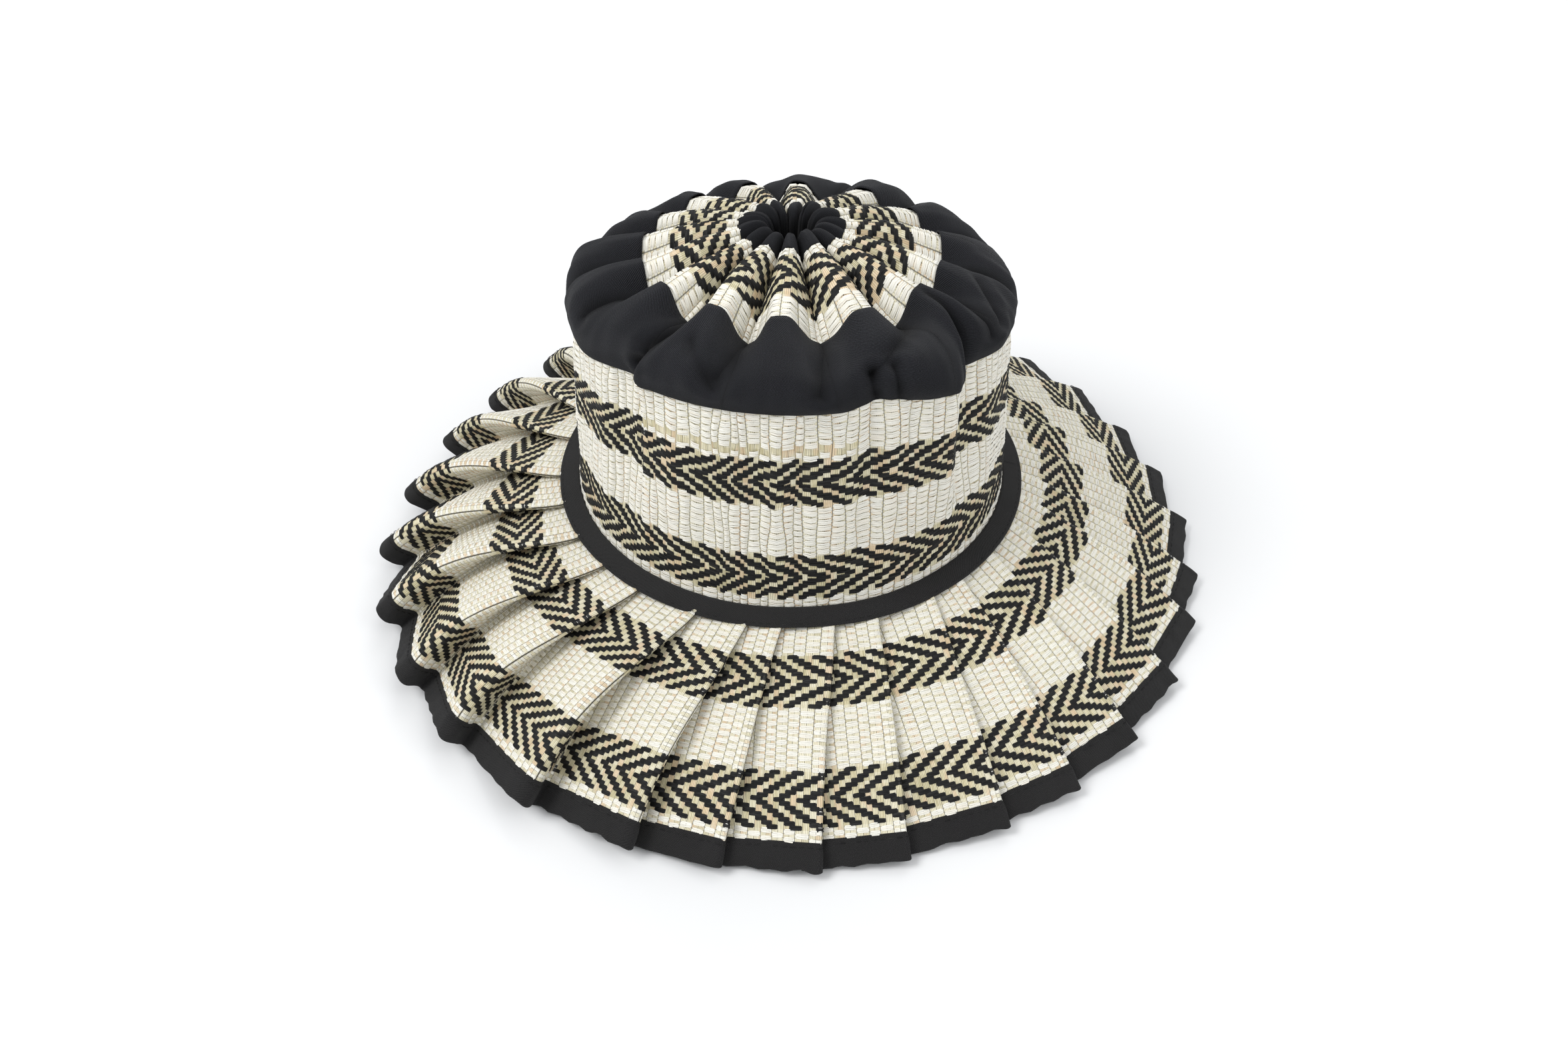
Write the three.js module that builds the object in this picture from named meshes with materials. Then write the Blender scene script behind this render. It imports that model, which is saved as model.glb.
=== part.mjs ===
// Pleated sun hat woven from flat straw mat and trimmed with black cotton twill.
// Units are millimetres, +Z is up, the brim rests on z = 0 and the hat's front faces -Y.
import * as THREE from "three";

const { sin, cos, tan, PI, min, max } = Math;

// Driving dimensions of the woven mat and the cloth
const MAT_THICKNESS = 1.0;
const CLOTH_THICKNESS = 0.6;
const SEWING_GAP = 0.3;

// Where the crown's axis stands, so that the middle of the whole brim is at the origin
const CROWN_CENTRE = { x: 0.5, y: 3.2 };

// The brim is one long mat strip, knife-pleated into panels that fan out from the crown
const BRIM = {
  innerRadius: 93.6,
  outerRadius: 177,
  restHeight: 1.0,
  innerSlope: 16.5,
  outerSlope: 36.5,
  stripPerDegree: 4.4,
  innerCrest: 5.4,
  firstValley: 121.5,
};

// Width in degrees of each brim panel, counter-clockwise seen from above
const PANEL_DEGREES = [
  13.5, 12.5, 12, 13.5, 12.5, 12.5, 12.5, 12, 14, 13,
  10.5, 11, 11, 12.5, 11, 11.5, 12, 11.5, 10, 11,
  11.5, 10.5, 11.5, 11, 12, 12.5, 12.5, 12.5, 13, 13,
];

// How far the brim's outer edge reaches past its even round, by azimuth
const BRIM_REACH = [
  { azimuth: 15, reach: -1.5 },
  { azimuth: 50, reach: 2 },
  { azimuth: 95, reach: -3 },
  { azimuth: 132, reach: -11 },
  { azimuth: 172, reach: -8 },
  { azimuth: 192, reach: -2 },
  { azimuth: 215, reach: -0.5 },
  { azimuth: 240, reach: 2.5 },
  { azimuth: 272, reach: 3.5 },
  { azimuth: 300, reach: 1 },
  { azimuth: 345, reach: -1.5 },
];

// On the hat's left the folds stand up as rounded waves, elsewhere they lie pressed flat
const STANDING = {
  riseStart: 95,
  riseEnd: 140,
  fallStart: 228,
  fallEnd: 268,
  openDegrees: 50,
  onset: 1.1,
};
const FOLD_RADIUS = { inner: 0.75, outer: 1.65, standingCrest: 2.6, standingValley: 0.8 };

// Limits and number of halvings of the search for a pleat's slope
const PLEAT_SEARCH = { flatDegrees: 2, steepDegrees: 75, halvings: 40 };

// Twill binding folded over the brim's outer edge
const BINDING = { width: 10, edgeCover: 0.7, tipTaper: 0.3, footDepth: 2.2 };

// Twill tape sewn over the seam between crown and brim
const BAND = { innerRadius: 92.6, outerRadius: 100.6, thickness: 1.0, clearance: 0.8, segments: 60 };

// Crown wall, leaning back a little and narrowing towards its top
const WALL = {
  baseRadius: 91.0,
  topRadius: 88.2,
  baseHeight: 41.5,
  seamHeight: 132,
  seamCover: 4,
  fullHeight: 50,
  middleHeight: 92,
};
const LEAN = { shift: 5, tilt: 0.075 };

// Creases of the crown wall: where, how deep (negative is a dent), how wide on either side
const WALL_CREASES = [
  { azimuth: 228, depth: -7.0, widthBefore: 24, widthAfter: 2.5 },
  { azimuth: 318, depth: -7.0, widthBefore: 2.5, widthAfter: 18 },
  { azimuth: 311, depth: 4.0, widthBefore: 14, widthAfter: 5 },
  { azimuth: 290, depth: -3.0, widthBefore: 9, widthAfter: 8 },
  { azimuth: 75, depth: -3.0, widthBefore: 12, widthAfter: 12 },
  { azimuth: 150, depth: -3.0, widthBefore: 16, widthAfter: 4 },
];

// Broad hollows of the gathered ring, where its rear half draws in
const RING_HOLLOWS = [
  { azimuth: 128, depth: -7.5, widthBefore: 60, widthAfter: 40 },
  { azimuth: 15, depth: -4.5, widthBefore: 50, widthAfter: 60 },
];

// The crown top is a mat disc in deep accordion pleats, one ridge at each azimuth
const RIDGE_AZIMUTHS = [8, 33, 60, 87, 109, 130, 151, 172, 195, 217, 241, 266, 296, 322, 342];
const COLUMNS_PER_RIDGE = 5;

// Rows of the pleated disc and of the gathered centre: radius, ridge height, valley height
const DISC_ROWS = [
  { radius: 63.5, ridge: 152.0, valley: 139.8 },
  { radius: 58.0, ridge: 155.0, valley: 142.0 },
  { radius: 38.0, ridge: 161.5, valley: 147.0 },
  { radius: 20.5, ridge: 164.2, valley: 150.5 },
];
const CENTRE_ROWS = [
  { radius: 19.4, ridge: 164.9, valley: 151.2 },
  { radius: 12.5, ridge: 167.4, valley: 153.6 },
  { radius: 4.0, ridge: 158.0, valley: 154.0 },
];

// Rows of the gathered ring, from its hem on the wall over the shoulder to the disc.
// Crease and hollow say how much of the wall's creases and of the ring's hollows a row takes.
const RING_ROWS = [
  { radius: 89.9, ridge: 131.6, valley: 131.6, crease: 1.0, hollow: 0.0 },
  { radius: 89.9, ridge: 137.5, valley: 137.5, crease: 1.0, hollow: 0.0 },
  { radius: 86.5, ridge: 144.8, valley: 143.4, crease: 0.5, hollow: 1.0 },
  { radius: 76.0, ridge: 151.2, valley: 146.2, crease: 0.25, hollow: 0.6 },
  { radius: 60.0, ridge: 155.6, valley: 143.0, crease: 0.0, hollow: 0.0 },
];

const STRAW = new THREE.MeshStandardMaterial({ color: 0xcfc6ad, roughness: 0.75, metalness: 0 });
const TWILL = new THREE.MeshStandardMaterial({ color: 0x26262a, roughness: 0.9, metalness: 0 });

const radians = (degrees) => (degrees * PI) / 180;
const mix = (a, b, share) => a + (b - a) * share;

function smoothStep(x) {
  const t = min(max(x, 0), 1);
  return t * t * (3 - 2 * t);
}

// Signed angle in degrees from one azimuth to another, between -180 and 180
function azimuthDifference(azimuth, from) {
  return ((((azimuth - from + 180) % 360) + 360) % 360) - 180;
}

// A place at a radius and azimuth about the crown's axis
function polarPoint(radius, azimuth, z) {
  const a = radians(azimuth);
  return new THREE.Vector3(radius * cos(a), radius * sin(a), z);
}

// Closed solid whose cross-section loops run round the axis, one loop for each column.
// Rows tells how far out each loop point lies; every diagonal runs outwards to the next column.
function solidFromLoops(loops, rows) {
  const positions = [];
  const indices = [];
  const size = rows.length;
  for (const loop of loops) {
    for (const point of loop) positions.push(point.x, point.y, point.z);
  }
  for (let i = 0; i < loops.length; i += 1) {
    const here = i * size;
    const next = ((i + 1) % loops.length) * size;
    for (let j = 0; j < size; j += 1) {
      const k = (j + 1) % size;
      if (rows[k] >= rows[j]) {
        indices.push(here + j, next + j, next + k);
        indices.push(here + j, next + k, here + k);
      } else {
        indices.push(here + j, next + j, here + k);
        indices.push(next + j, next + k, here + k);
      }
    }
  }
  const geometry = new THREE.BufferGeometry();
  geometry.setAttribute("position", new THREE.Float32BufferAttribute(positions, 3));
  geometry.setIndex(indices);
  geometry.computeVertexNormals();
  return geometry;
}

// Sheet of even thickness, closed round the axis, from a grid of centre points and unit normals
function sheetSolid(grid, thickness) {
  const half = thickness / 2;
  const loops = grid.map((column) => {
    const lower = column.map((place) => place.point.clone().addScaledVector(place.normal, -half));
    const upper = column.map((place) => place.point.clone().addScaledVector(place.normal, half));
    return [...lower, ...upper.reverse()];
  });
  const outwards = grid[0].map((_, row) => row);
  return solidFromLoops(loops, [...outwards, ...outwards.slice().reverse()]);
}

// Brim profile: the slope steepens evenly from the crown to the outer edge
const MEAN_SLOPE = radians((BRIM.innerSlope + BRIM.outerSlope) / 2);
const HALF_BEND = radians((BRIM.outerSlope - BRIM.innerSlope) / 2);
const BEND_SHORTENING = sin(HALF_BEND) / HALF_BEND;
const STRIP_WIDTH = (BRIM.outerRadius - BRIM.innerRadius) / (cos(MEAN_SLOPE) * BEND_SHORTENING);

function brimProfile(across) {
  const start = radians(BRIM.innerSlope);
  const bend = (2 * HALF_BEND) / STRIP_WIDTH;
  const slope = start + bend * across;
  const total = start + bend * STRIP_WIDTH;
  return {
    slope,
    radius: BRIM.innerRadius + (sin(slope) - sin(start)) / bend,
    z: BRIM.restHeight + (cos(slope) - cos(total)) / bend,
  };
}

function brimReach(azimuth) {
  const last = BRIM_REACH.length - 1;
  const turned = ((azimuth - BRIM_REACH[0].azimuth) % 360 + 360) % 360 + BRIM_REACH[0].azimuth;
  let row = last;
  while (BRIM_REACH[row].azimuth > turned) row -= 1;
  const from = BRIM_REACH[row];
  const to = BRIM_REACH[(row + 1) % BRIM_REACH.length];
  const span = (to.azimuth - from.azimuth + 360) % 360;
  return mix(from.reach, to.reach, smoothStep((turned - from.azimuth) / span));
}

function standingShare(azimuth) {
  const a = ((azimuth % 360) + 360) % 360;
  const rise = smoothStep((a - STANDING.riseStart) / (STANDING.riseEnd - STANDING.riseStart));
  const fall = smoothStep((STANDING.fallEnd - a) / (STANDING.fallEnd - STANDING.fallStart));
  return rise * fall;
}

// Slope of the visible face and length of the hidden underlay of one pleat.
// The strip length, both fold radii and the opening angle are given; the face slope is
// found by halving, so that one pleat advances by exactly its pitch and ends level.
function solvePleat(pitch, strip, foldRadii, opening) {
  const straight = strip - foldRadii * (PI - opening);
  const underlay = (a) => {
    const level = cos(a) + cos(a + opening);
    return (straight * sin(a) - foldRadii * level) / (sin(a) + sin(a + opening));
  };
  const excess = (a) => {
    const turns = foldRadii * (sin(a) + sin(a + opening));
    return straight * cos(a) + turns - underlay(a) * (cos(a) + cos(a + opening)) - pitch;
  };
  let flat = radians(PLEAT_SEARCH.flatDegrees);
  let steep = radians(PLEAT_SEARCH.steepDegrees);
  for (let step = 0; step < PLEAT_SEARCH.halvings; step += 1) {
    const middle = (flat + steep) / 2;
    if (excess(middle) > 0) flat = middle;
    else steep = middle;
  }
  const face = (flat + steep) / 2;
  return { face, underlay: underlay(face), straight };
}

// Six corners of one pleat's section: x along the brim, h off it, and the strip's direction.
// It runs from the hidden valley fold up the face, over the crest and back along the underlay.
function pleatCorners(pitch, strip, crestRadius, valleyRadius, opening) {
  const pleat = solvePleat(pitch, strip, crestRadius + valleyRadius, opening);
  const under = pleat.face - PI + opening;
  const middle = (pleat.face + under) / 2;
  const faceLength = pleat.straight - pleat.underlay;
  const corners = [{ x: 0, h: 0, angle: middle }];
  const advance = (dx, dh, angle) => {
    const last = corners[corners.length - 1];
    corners.push({ x: last.x + dx, h: last.h + dh, angle });
  };
  const turn = (radius, from, to, side) => {
    advance(side * radius * (sin(to) - sin(from)), side * radius * (cos(from) - cos(to)), to);
  };
  turn(valleyRadius, middle, pleat.face, 1);
  advance(faceLength * cos(pleat.face), faceLength * sin(pleat.face), pleat.face);
  turn(crestRadius, pleat.face, middle, -1);
  turn(crestRadius, middle, under, -1);
  advance(pleat.underlay * cos(under), pleat.underlay * sin(under), under);
  const lowest = min(...corners.map((corner) => corner.h));
  return corners.map((corner) => ({ ...corner, h: corner.h - lowest }));
}

// Every corner of every pleat at one distance across the strip, with its surface normal
function brimColumns(across) {
  const profile = brimProfile(across);
  const share = across / STRIP_WIDTH;
  const columns = [];
  let valley = BRIM.firstValley;
  for (const width of PANEL_DEGREES) {
    const standing = standingShare(valley + width) * smoothStep(share * STANDING.onset);
    const base = mix(FOLD_RADIUS.inner, FOLD_RADIUS.outer, share);
    const corners = pleatCorners(
      radians(width) * profile.radius,
      BRIM.stripPerDegree * width,
      base + standing * FOLD_RADIUS.standingCrest,
      base + standing * FOLD_RADIUS.standingValley,
      radians(STANDING.openDegrees) * standing,
    );
    for (const corner of corners) {
      const azimuth = radians(valley) + corner.x / profile.radius;
      const radius = profile.radius + brimReach(azimuth * 180 / PI) * share * share;
      const around = new THREE.Vector3(-sin(azimuth), cos(azimuth), 0);
      const off = new THREE.Vector3(
        sin(profile.slope) * cos(azimuth),
        sin(profile.slope) * sin(azimuth),
        cos(profile.slope),
      );
      const point = new THREE.Vector3(radius * cos(azimuth), radius * sin(azimuth), profile.z);
      point.addScaledVector(off, corner.h);
      const normal = around.clone().multiplyScalar(-sin(corner.angle)).addScaledVector(off, cos(corner.angle));
      columns.push({ point, normal });
    }
    valley += width;
  }
  return columns;
}

const BINDING_START = STRIP_WIDTH - BINDING.width;

function brimMat() {
  const rows = [0, 0.5 * BINDING_START, BINDING_START, STRIP_WIDTH - BINDING.edgeCover - SEWING_GAP];
  const places = rows.map(brimColumns);
  const grid = places[0].map((_, i) => places.map((row) => row[i]));
  return sheetSolid(grid, MAT_THICKNESS);
}

// The binding is a U in section, open towards the crown, with a small flat foot under each valley
function brimBinding() {
  const inside = MAT_THICKNESS / 2 + SEWING_GAP;
  const outside = inside + CLOTH_THICKNESS;
  const tip = outside - BINDING.tipTaper;
  const start = brimColumns(BINDING_START);
  const foot = brimColumns(STRIP_WIDTH - BINDING.footDepth);
  const cover = brimColumns(STRIP_WIDTH - BINDING.edgeCover);
  const edge = brimColumns(STRIP_WIDTH);
  const cornersPerPleat = edge.length / PANEL_DEGREES.length;
  const offset = (place, distance) => place.point.clone().addScaledVector(place.normal, distance);
  const loops = edge.map((_, i) => {
    const loop = [
      offset(start[i], -outside),
      offset(foot[i], -outside),
      offset(edge[i], -tip),
      offset(edge[i], tip),
      offset(start[i], outside),
      offset(start[i], inside),
      offset(cover[i], inside),
      offset(cover[i], -inside),
      offset(start[i], -inside),
    ];
    if (i % cornersPerPleat < 2) {
      loop[1].z = 0;
      loop[2].z = 0;
    }
    return loop;
  });
  return solidFromLoops(loops, [0, 1, 3, 3, 0, 0, 2, 2, 0]);
}

// Change of radius that a table of creases or hollows makes at one azimuth
function creaseOffset(azimuth, creases) {
  let offset = 0;
  for (const crease of creases) {
    const d = azimuthDifference(azimuth, crease.azimuth);
    const width = d < 0 ? crease.widthBefore : crease.widthAfter;
    offset += crease.depth * smoothStep(1 - Math.abs(d) / width);
  }
  return offset;
}

// Share of the way from the wall's full round up to the ring's seam
function crownClimb(height) {
  return max(height - WALL.fullHeight, 0) / (WALL.seamHeight - WALL.fullHeight);
}

// A place on the leaning crown: radius from its axis, and height on the axis
function crownPoint(radius, azimuth, height) {
  const climb = crownClimb(height);
  const point = polarPoint(radius, azimuth, height);
  point.y += LEAN.shift * climb;
  point.z -= LEAN.tilt * point.y * climb;
  return point;
}

// Azimuths shared by wall, ring, disc and centre: evenly spaced between neighbouring ridges
function crownAzimuths() {
  const azimuths = [];
  RIDGE_AZIMUTHS.forEach((ridge, i) => {
    const next = RIDGE_AZIMUTHS[(i + 1) % RIDGE_AZIMUTHS.length];
    const span = (next - ridge + 360) % 360;
    for (let k = 0; k < COLUMNS_PER_RIDGE; k += 1) {
      const share = k / COLUMNS_PER_RIDGE;
      azimuths.push({ azimuth: ridge + span * share, wave: 0.5 + 0.5 * cos(2 * PI * share) });
    }
  });
  return azimuths;
}

// Unit normals of a grid of points, taken from the neighbouring columns and rows
function gridNormals(grid) {
  const columns = grid.length;
  return grid.map((column, i) => column.map((point, j) => {
    const after = grid[(i + 1) % columns][j];
    const before = grid[(i + columns - 1) % columns][j];
    const onward = column[min(j + 1, column.length - 1)];
    const back = column[max(j - 1, 0)];
    const around = after.clone().sub(before);
    const along = onward.clone().sub(back);
    return { point, normal: along.cross(around).normalize() };
  }));
}

function sheetFromGrid(grid, thickness) {
  return sheetSolid(gridNormals(grid), thickness);
}

function crownWall() {
  const heights = [WALL.baseHeight, WALL.fullHeight, WALL.middleHeight, WALL.seamHeight + WALL.seamCover];
  const grid = crownAzimuths().map(({ azimuth }) => heights.map((height) => {
    const climb = crownClimb(height);
    const crease = creaseOffset(azimuth, WALL_CREASES) * smoothStep(climb);
    return crownPoint(mix(WALL.baseRadius, WALL.topRadius, climb) + crease, azimuth, height);
  }));
  return sheetFromGrid(grid, MAT_THICKNESS);
}

function crownRing() {
  const grid = crownAzimuths().map(({ azimuth, wave }) => RING_ROWS.map((row) => {
    const crease = creaseOffset(azimuth, WALL_CREASES) * row.crease;
    const radius = row.radius + crease + creaseOffset(azimuth, RING_HOLLOWS) * row.hollow;
    return crownPoint(radius, azimuth, mix(row.valley, row.ridge, wave));
  }));
  return sheetFromGrid(grid, CLOTH_THICKNESS);
}

function pleatedDisc(rows, thickness) {
  const grid = crownAzimuths().map(({ azimuth, wave }) => rows.map((row) => (
    crownPoint(row.radius, azimuth, mix(row.valley, row.ridge, wave))
  )));
  return sheetFromGrid(grid, thickness);
}

// The tape is a flat cone lying on the brim's crests, next to the crown wall
function hatBand() {
  const slope = radians(BRIM.innerSlope);
  const lift = BRIM.innerCrest + MAT_THICKNESS / 2 + BAND.clearance;
  const seat = brimProfile(0).z + lift / cos(slope) + (BRIM.innerRadius - BAND.innerRadius) * tan(slope);
  const fall = (BAND.outerRadius - BAND.innerRadius) * tan(slope);
  const loops = [];
  for (let i = 0; i < BAND.segments; i += 1) {
    const azimuth = (360 * i) / BAND.segments;
    loops.push([
      polarPoint(BAND.innerRadius, azimuth, seat),
      polarPoint(BAND.outerRadius, azimuth, seat - fall),
      polarPoint(BAND.outerRadius, azimuth, seat - fall + BAND.thickness),
      polarPoint(BAND.innerRadius, azimuth, seat + BAND.thickness),
    ]);
  }
  return solidFromLoops(loops, [0, 1, 1, 0]);
}

const PARTS = [
  ["brim_mat", brimMat(), STRAW],
  ["brim_binding", brimBinding(), TWILL],
  ["hat_band", hatBand(), TWILL],
  ["crown_side", crownWall(), STRAW],
  ["crown_ring", crownRing(), TWILL],
  ["crown_top_mat", pleatedDisc(DISC_ROWS, MAT_THICKNESS), STRAW],
  ["crown_centre", pleatedDisc(CENTRE_ROWS, CLOTH_THICKNESS), TWILL],
];

const hat = new THREE.Group();
hat.name = "pleated_straw_sun_hat";
hat.position.set(CROWN_CENTRE.x, CROWN_CENTRE.y, 0);
for (const [name, geometry, material] of PARTS) {
  const mesh = new THREE.Mesh(geometry, material);
  mesh.name = name;
  hat.add(mesh);
}

export default hat;
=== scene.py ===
"""Looks of a pleated straw sun hat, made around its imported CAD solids.

Lengths are millimetres about the crown's axis until a mesh is made. There they become metres,
and the axis moves to its place in the frame. Azimuths are degrees, counter-clockwise seen from
above, and the hat's front is at 270.

A mat place is named by two weave coordinates. The bundle coordinate counts bundles of warp
straw along the mat, and the pick coordinate counts weft threads across it. All three mats are
cut from one weave, so a pick coordinate means the same stripe on each of them.
"""

import math

import bpy
import numpy as np
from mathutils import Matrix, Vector


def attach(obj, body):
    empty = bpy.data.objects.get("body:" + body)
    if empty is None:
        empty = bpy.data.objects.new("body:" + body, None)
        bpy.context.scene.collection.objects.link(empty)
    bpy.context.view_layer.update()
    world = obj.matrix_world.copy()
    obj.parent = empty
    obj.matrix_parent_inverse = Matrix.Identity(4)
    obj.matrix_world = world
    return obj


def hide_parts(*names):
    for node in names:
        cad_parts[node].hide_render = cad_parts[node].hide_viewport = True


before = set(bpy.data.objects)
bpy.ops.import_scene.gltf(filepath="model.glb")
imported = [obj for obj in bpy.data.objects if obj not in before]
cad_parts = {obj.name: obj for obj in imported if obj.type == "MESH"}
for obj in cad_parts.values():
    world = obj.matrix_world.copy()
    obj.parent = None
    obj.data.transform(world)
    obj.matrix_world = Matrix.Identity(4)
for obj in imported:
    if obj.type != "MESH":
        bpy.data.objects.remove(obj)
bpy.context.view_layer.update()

# Where the crown's axis stands in the frame
CROWN_AXIS = np.array([0.5, 3.2, 0.0])
METRES_PER_MM = 0.001

# The woven mat
MAT_THICKNESS = 0.8
BUNDLE_WIDTH = 2.25
PICK_PITCH = 1.39
BRIM_VARIATION = 0.16
WALL_VARIATION = 0.3

# Stripes of the weave by pick coordinate: two herringbone bands on a white ground
HERRINGBONES = [(12, 27), (44, 59)]
TWILL_REPEAT = 4
FLOAT_BUNDLES = 2

# Brim strip, knife-pleated into panels that fan out from the crown
BRIM_INNER_RADIUS = 93.6
BRIM_OUTER_RADIUS = 178.8
BRIM_REST_HEIGHT = 1.0
BRIM_INNER_SLOPE = 16.5
BRIM_OUTER_SLOPE = 36.5
STRIP_PER_DEGREE = 4.4
FIRST_VALLEY = 121.5
PANEL_DEGREES = np.array([
    13.5, 12.5, 12, 13.5, 12.5, 12.5, 12.5, 12, 14, 13,
    10.5, 11, 11, 12.5, 11, 11.5, 12, 11.5, 10, 11,
    11.5, 10.5, 11.5, 11, 12, 12.5, 12.5, 12.5, 13, 13,
])
PANEL_COUNT = len(PANEL_DEGREES)
PANEL_STRIPS = STRIP_PER_DEGREE * PANEL_DEGREES
VALLEY_AZIMUTHS = FIRST_VALLEY + np.concatenate([[0], np.cumsum(PANEL_DEGREES)[:-1]])

# How far the brim's outer edge reaches past its even round: azimuth, reach
BRIM_REACH = [
    (15, -1.5), (50, 2), (95, -3), (132, -11), (172, -8), (192, -2),
    (215, -0.5), (240, 2.5), (272, 3.5), (300, 1), (345, -1.5),
]

# How much further out a panel's crest stands than its valley at the outer edge: azimuth, length
PANEL_SKEW = [(60, 4.0), (110, 2.0), (235, 0.8), (275, 1.0), (315, 3.4), (355, 4.2)]

# On the hat's left the folds stand up as rounded waves, elsewhere they lie pressed flat
STANDING_RISE = (95, 140)
STANDING_FALL = (228, 268)
STANDING_OPEN_DEGREES = 50
STANDING_ONSET = 1.1
INNER_FOLD_RADIUS = 0.6
OUTER_FOLD_RADIUS = 0.95
STANDING_CREST_RADIUS = 3.0
STANDING_VALLEY_RADIUS = 0.9

# Range of slopes in which a pleat's face is sought, in degrees, and how often it is halved
FACE_SLOPES = (1, 75)
FACE_HALVINGS = 40

# Twill binding round the brim's outer edge. It starts to turn just inside the edge of the mat's
# strip and reaches just past it, where the brim's surface carries on to a share above 1
BINDING_WIDTH = 10.0
BINDING_TURN = 0.5
BINDING_REACH = 0.6
BINDING_ROUNDNESS = 0.6
BINDING_TOP_ROWS = 6
BINDING_EDGE_ROWS = 7
BINDING_ROW_STEP = 0.15
OVERHANG_SHARE = 1.05

# Twill cloth and its rows of stitches
CLOTH_THICKNESS = 0.5
CLOTH_CLEARANCE = 0.12
STITCH_LENGTH = 2.1
STITCH_PITCH = 3.1
STITCH_RADIUS = 0.2
STITCH_SHARES = (0, 0.2, 0.5, 0.8, 1)
BINDING_STITCH_INSET = 1.9
STITCH_DENT_DEPTH = 0.15
STITCH_DENT_WIDTH = 0.45
STITCH_SEED_STEP = 0.37

# Twill tape over the seam between crown and brim
BAND_INNER_RADIUS = 91.9
BAND_OUTER_RADIUS = 100.6
BAND_MIDDLE_RADIUS = 96.5
BAND_SEAT_RADIUS = 100.0
BAND_STITCH_RADIUS = 99.5
BAND_CLEARANCE = 0.75

# Distances across the brim's strip at which the tape is seated and at which it takes a share of
# the strip's waves
BAND_SEAT_ACROSS = 6.6
BAND_WAVE_ACROSS = 4.0
BAND_WAVE_SHARE = 0.35

# Section of the tape: radius, height over its seat
BAND_ROWS = np.array([
    (BAND_INNER_RADIUS, -0.1), (BAND_INNER_RADIUS + 0.15, 0.5), (BAND_INNER_RADIUS + 1.2, 0.6),
    (BAND_MIDDLE_RADIUS, 0.62), (BAND_STITCH_RADIUS - 0.6, 0.6), (BAND_STITCH_RADIUS, 0.46),
    (BAND_OUTER_RADIUS - 0.4, 0.56), (BAND_OUTER_RADIUS, 0.28), (BAND_OUTER_RADIUS, 0.0),
    (BAND_OUTER_RADIUS - 0.5, -0.1),
])

# Crown wall, leaning back a little and narrowing towards its top
WALL_BASE_RADIUS = 91.0
WALL_TOP_RADIUS = 88.2
WALL_BASE_HEIGHT = 41.5
WALL_FULL_HEIGHT = 50.0
SEAM_HEIGHT = 132.0
SEAM_COVER = 4.0
LEAN_SHIFT = 5.0
LEAN_TILT = 0.075
WALL_BUNDLES = 252
WALL_FIRST_PICK = 8.5
WALL_FIRST_HEIGHT = 49.0
WALL_PICK_PITCH = 1.277
WALL_ROWS = 38
WALL_NORMAL_STEP = 0.3

# Weft threads from which each mat's floats are made
BRIM_PICKS = np.arange(0, 70)
WALL_PICKS = np.arange(8, 75)
DISC_PICKS = np.arange(8, 38)

# The wall's waves grow over this share of its height, and fade within this length of the seam
WAVE_GROWTH = 1 / 3
WAVE_FADE = 9.0

# Weave coordinates of the stretch at the front where white floats are left out of two rows
WALL_BARE_PICKS = (61, 62)
WALL_BARE_BUNDLES = (160, 202)

# Creases of the crown wall: azimuth, depth (negative is a dent), width before, width after
WALL_CREASES = [
    (228, -7.0, 24, 2.5),
    (318, -7.0, 2.5, 18),
    (311, 4.0, 14, 5),
    (290, -3.0, 9, 8),
    (75, -3.0, 12, 12),
    (150, -3.0, 16, 4),
]

# Broad hollows of the gathered ring, in the same columns
RING_HOLLOWS = [
    (128, -7.5, 60, 40),
    (15, -4.5, 50, 60),
]

# Rise of the ring's hem above its even height, by azimuth
HEM_RISE = [
    (180, -1.0), (205, -1.5), (225, 0.0), (235, 2.2), (283, 2.0),
    (293, 3.2), (305, 0.3), (316, -1.2), (325, 0.0),
]

# Folds of the gathered ring: azimuth and share across it at either end, depth, width
RING_WIDTH = 42.0
RING_GIRTH = 620.0
FOLD_RADIUS = 80.0
# Fold depth at which the ring's painted shade is full
DEEP_FOLD = 3.0
RING_FOLDS = [
    (229, 0.0, 227, 0.3, 3.6, 2.0),
    (227, 0.3, 232, 0.95, 3.0, 2.6),
    (240, 0.72, 250, 0.35, 1.6, 3.0),
    (253, 0.95, 250, 0.5, 2.4, 4.0),
    (281, 0.95, 277, 0.35, 2.2, 3.0),
    (291, 0.5, 291, 0.02, 3.0, 1.8),
    (296, 0.5, 296, 0.05, 2.4, 1.8),
    (309, 0.95, 292, 0.5, 2.4, 3.0),
    (320, 0.02, 321, 0.92, 3.4, 2.2),
    (332, 0.95, 330, 0.35, 2.2, 2.6),
    (345, 0.75, 335, 0.4, 2.0, 2.5),
    (355, 1.0, 356, 0.35, 3.0, 3.0),
    (20, 1.0, 23, 0.4, 2.6, 3.0),
    (46, 1.0, 50, 0.3, 3.0, 3.4),
    (73, 1.0, 70, 0.45, 2.4, 2.6),
    (98, 1.0, 101, 0.35, 3.0, 3.0),
    (120, 1.0, 118, 0.4, 2.2, 2.6),
    (140, 1.0, 143, 0.3, 2.8, 3.0),
    (161, 1.0, 158, 0.4, 3.0, 3.0),
    (184, 1.0, 182, 0.3, 3.2, 3.0),
    (206, 1.0, 203, 0.45, 2.4, 3.0),
]

# The raised lip beside a fold: its distance and breadth in fold widths, its share of the depth
LIP_DISTANCE = 2.2
LIP_BREADTH = 1.1
LIP_SHARE = 0.4

# How much of the ring's gathers is left at its sewn edges, the lengths over which its puffs and
# gathers run, how soon the ridges' sway sets in from the hem up, and the grid of its sheet
SEWN_GATHER = 0.25
PUFF_LENGTH = 40
GATHER_LENGTH = 25
SWAY_ONSET = 1.3
RING_GRID = (800, 34)

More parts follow.
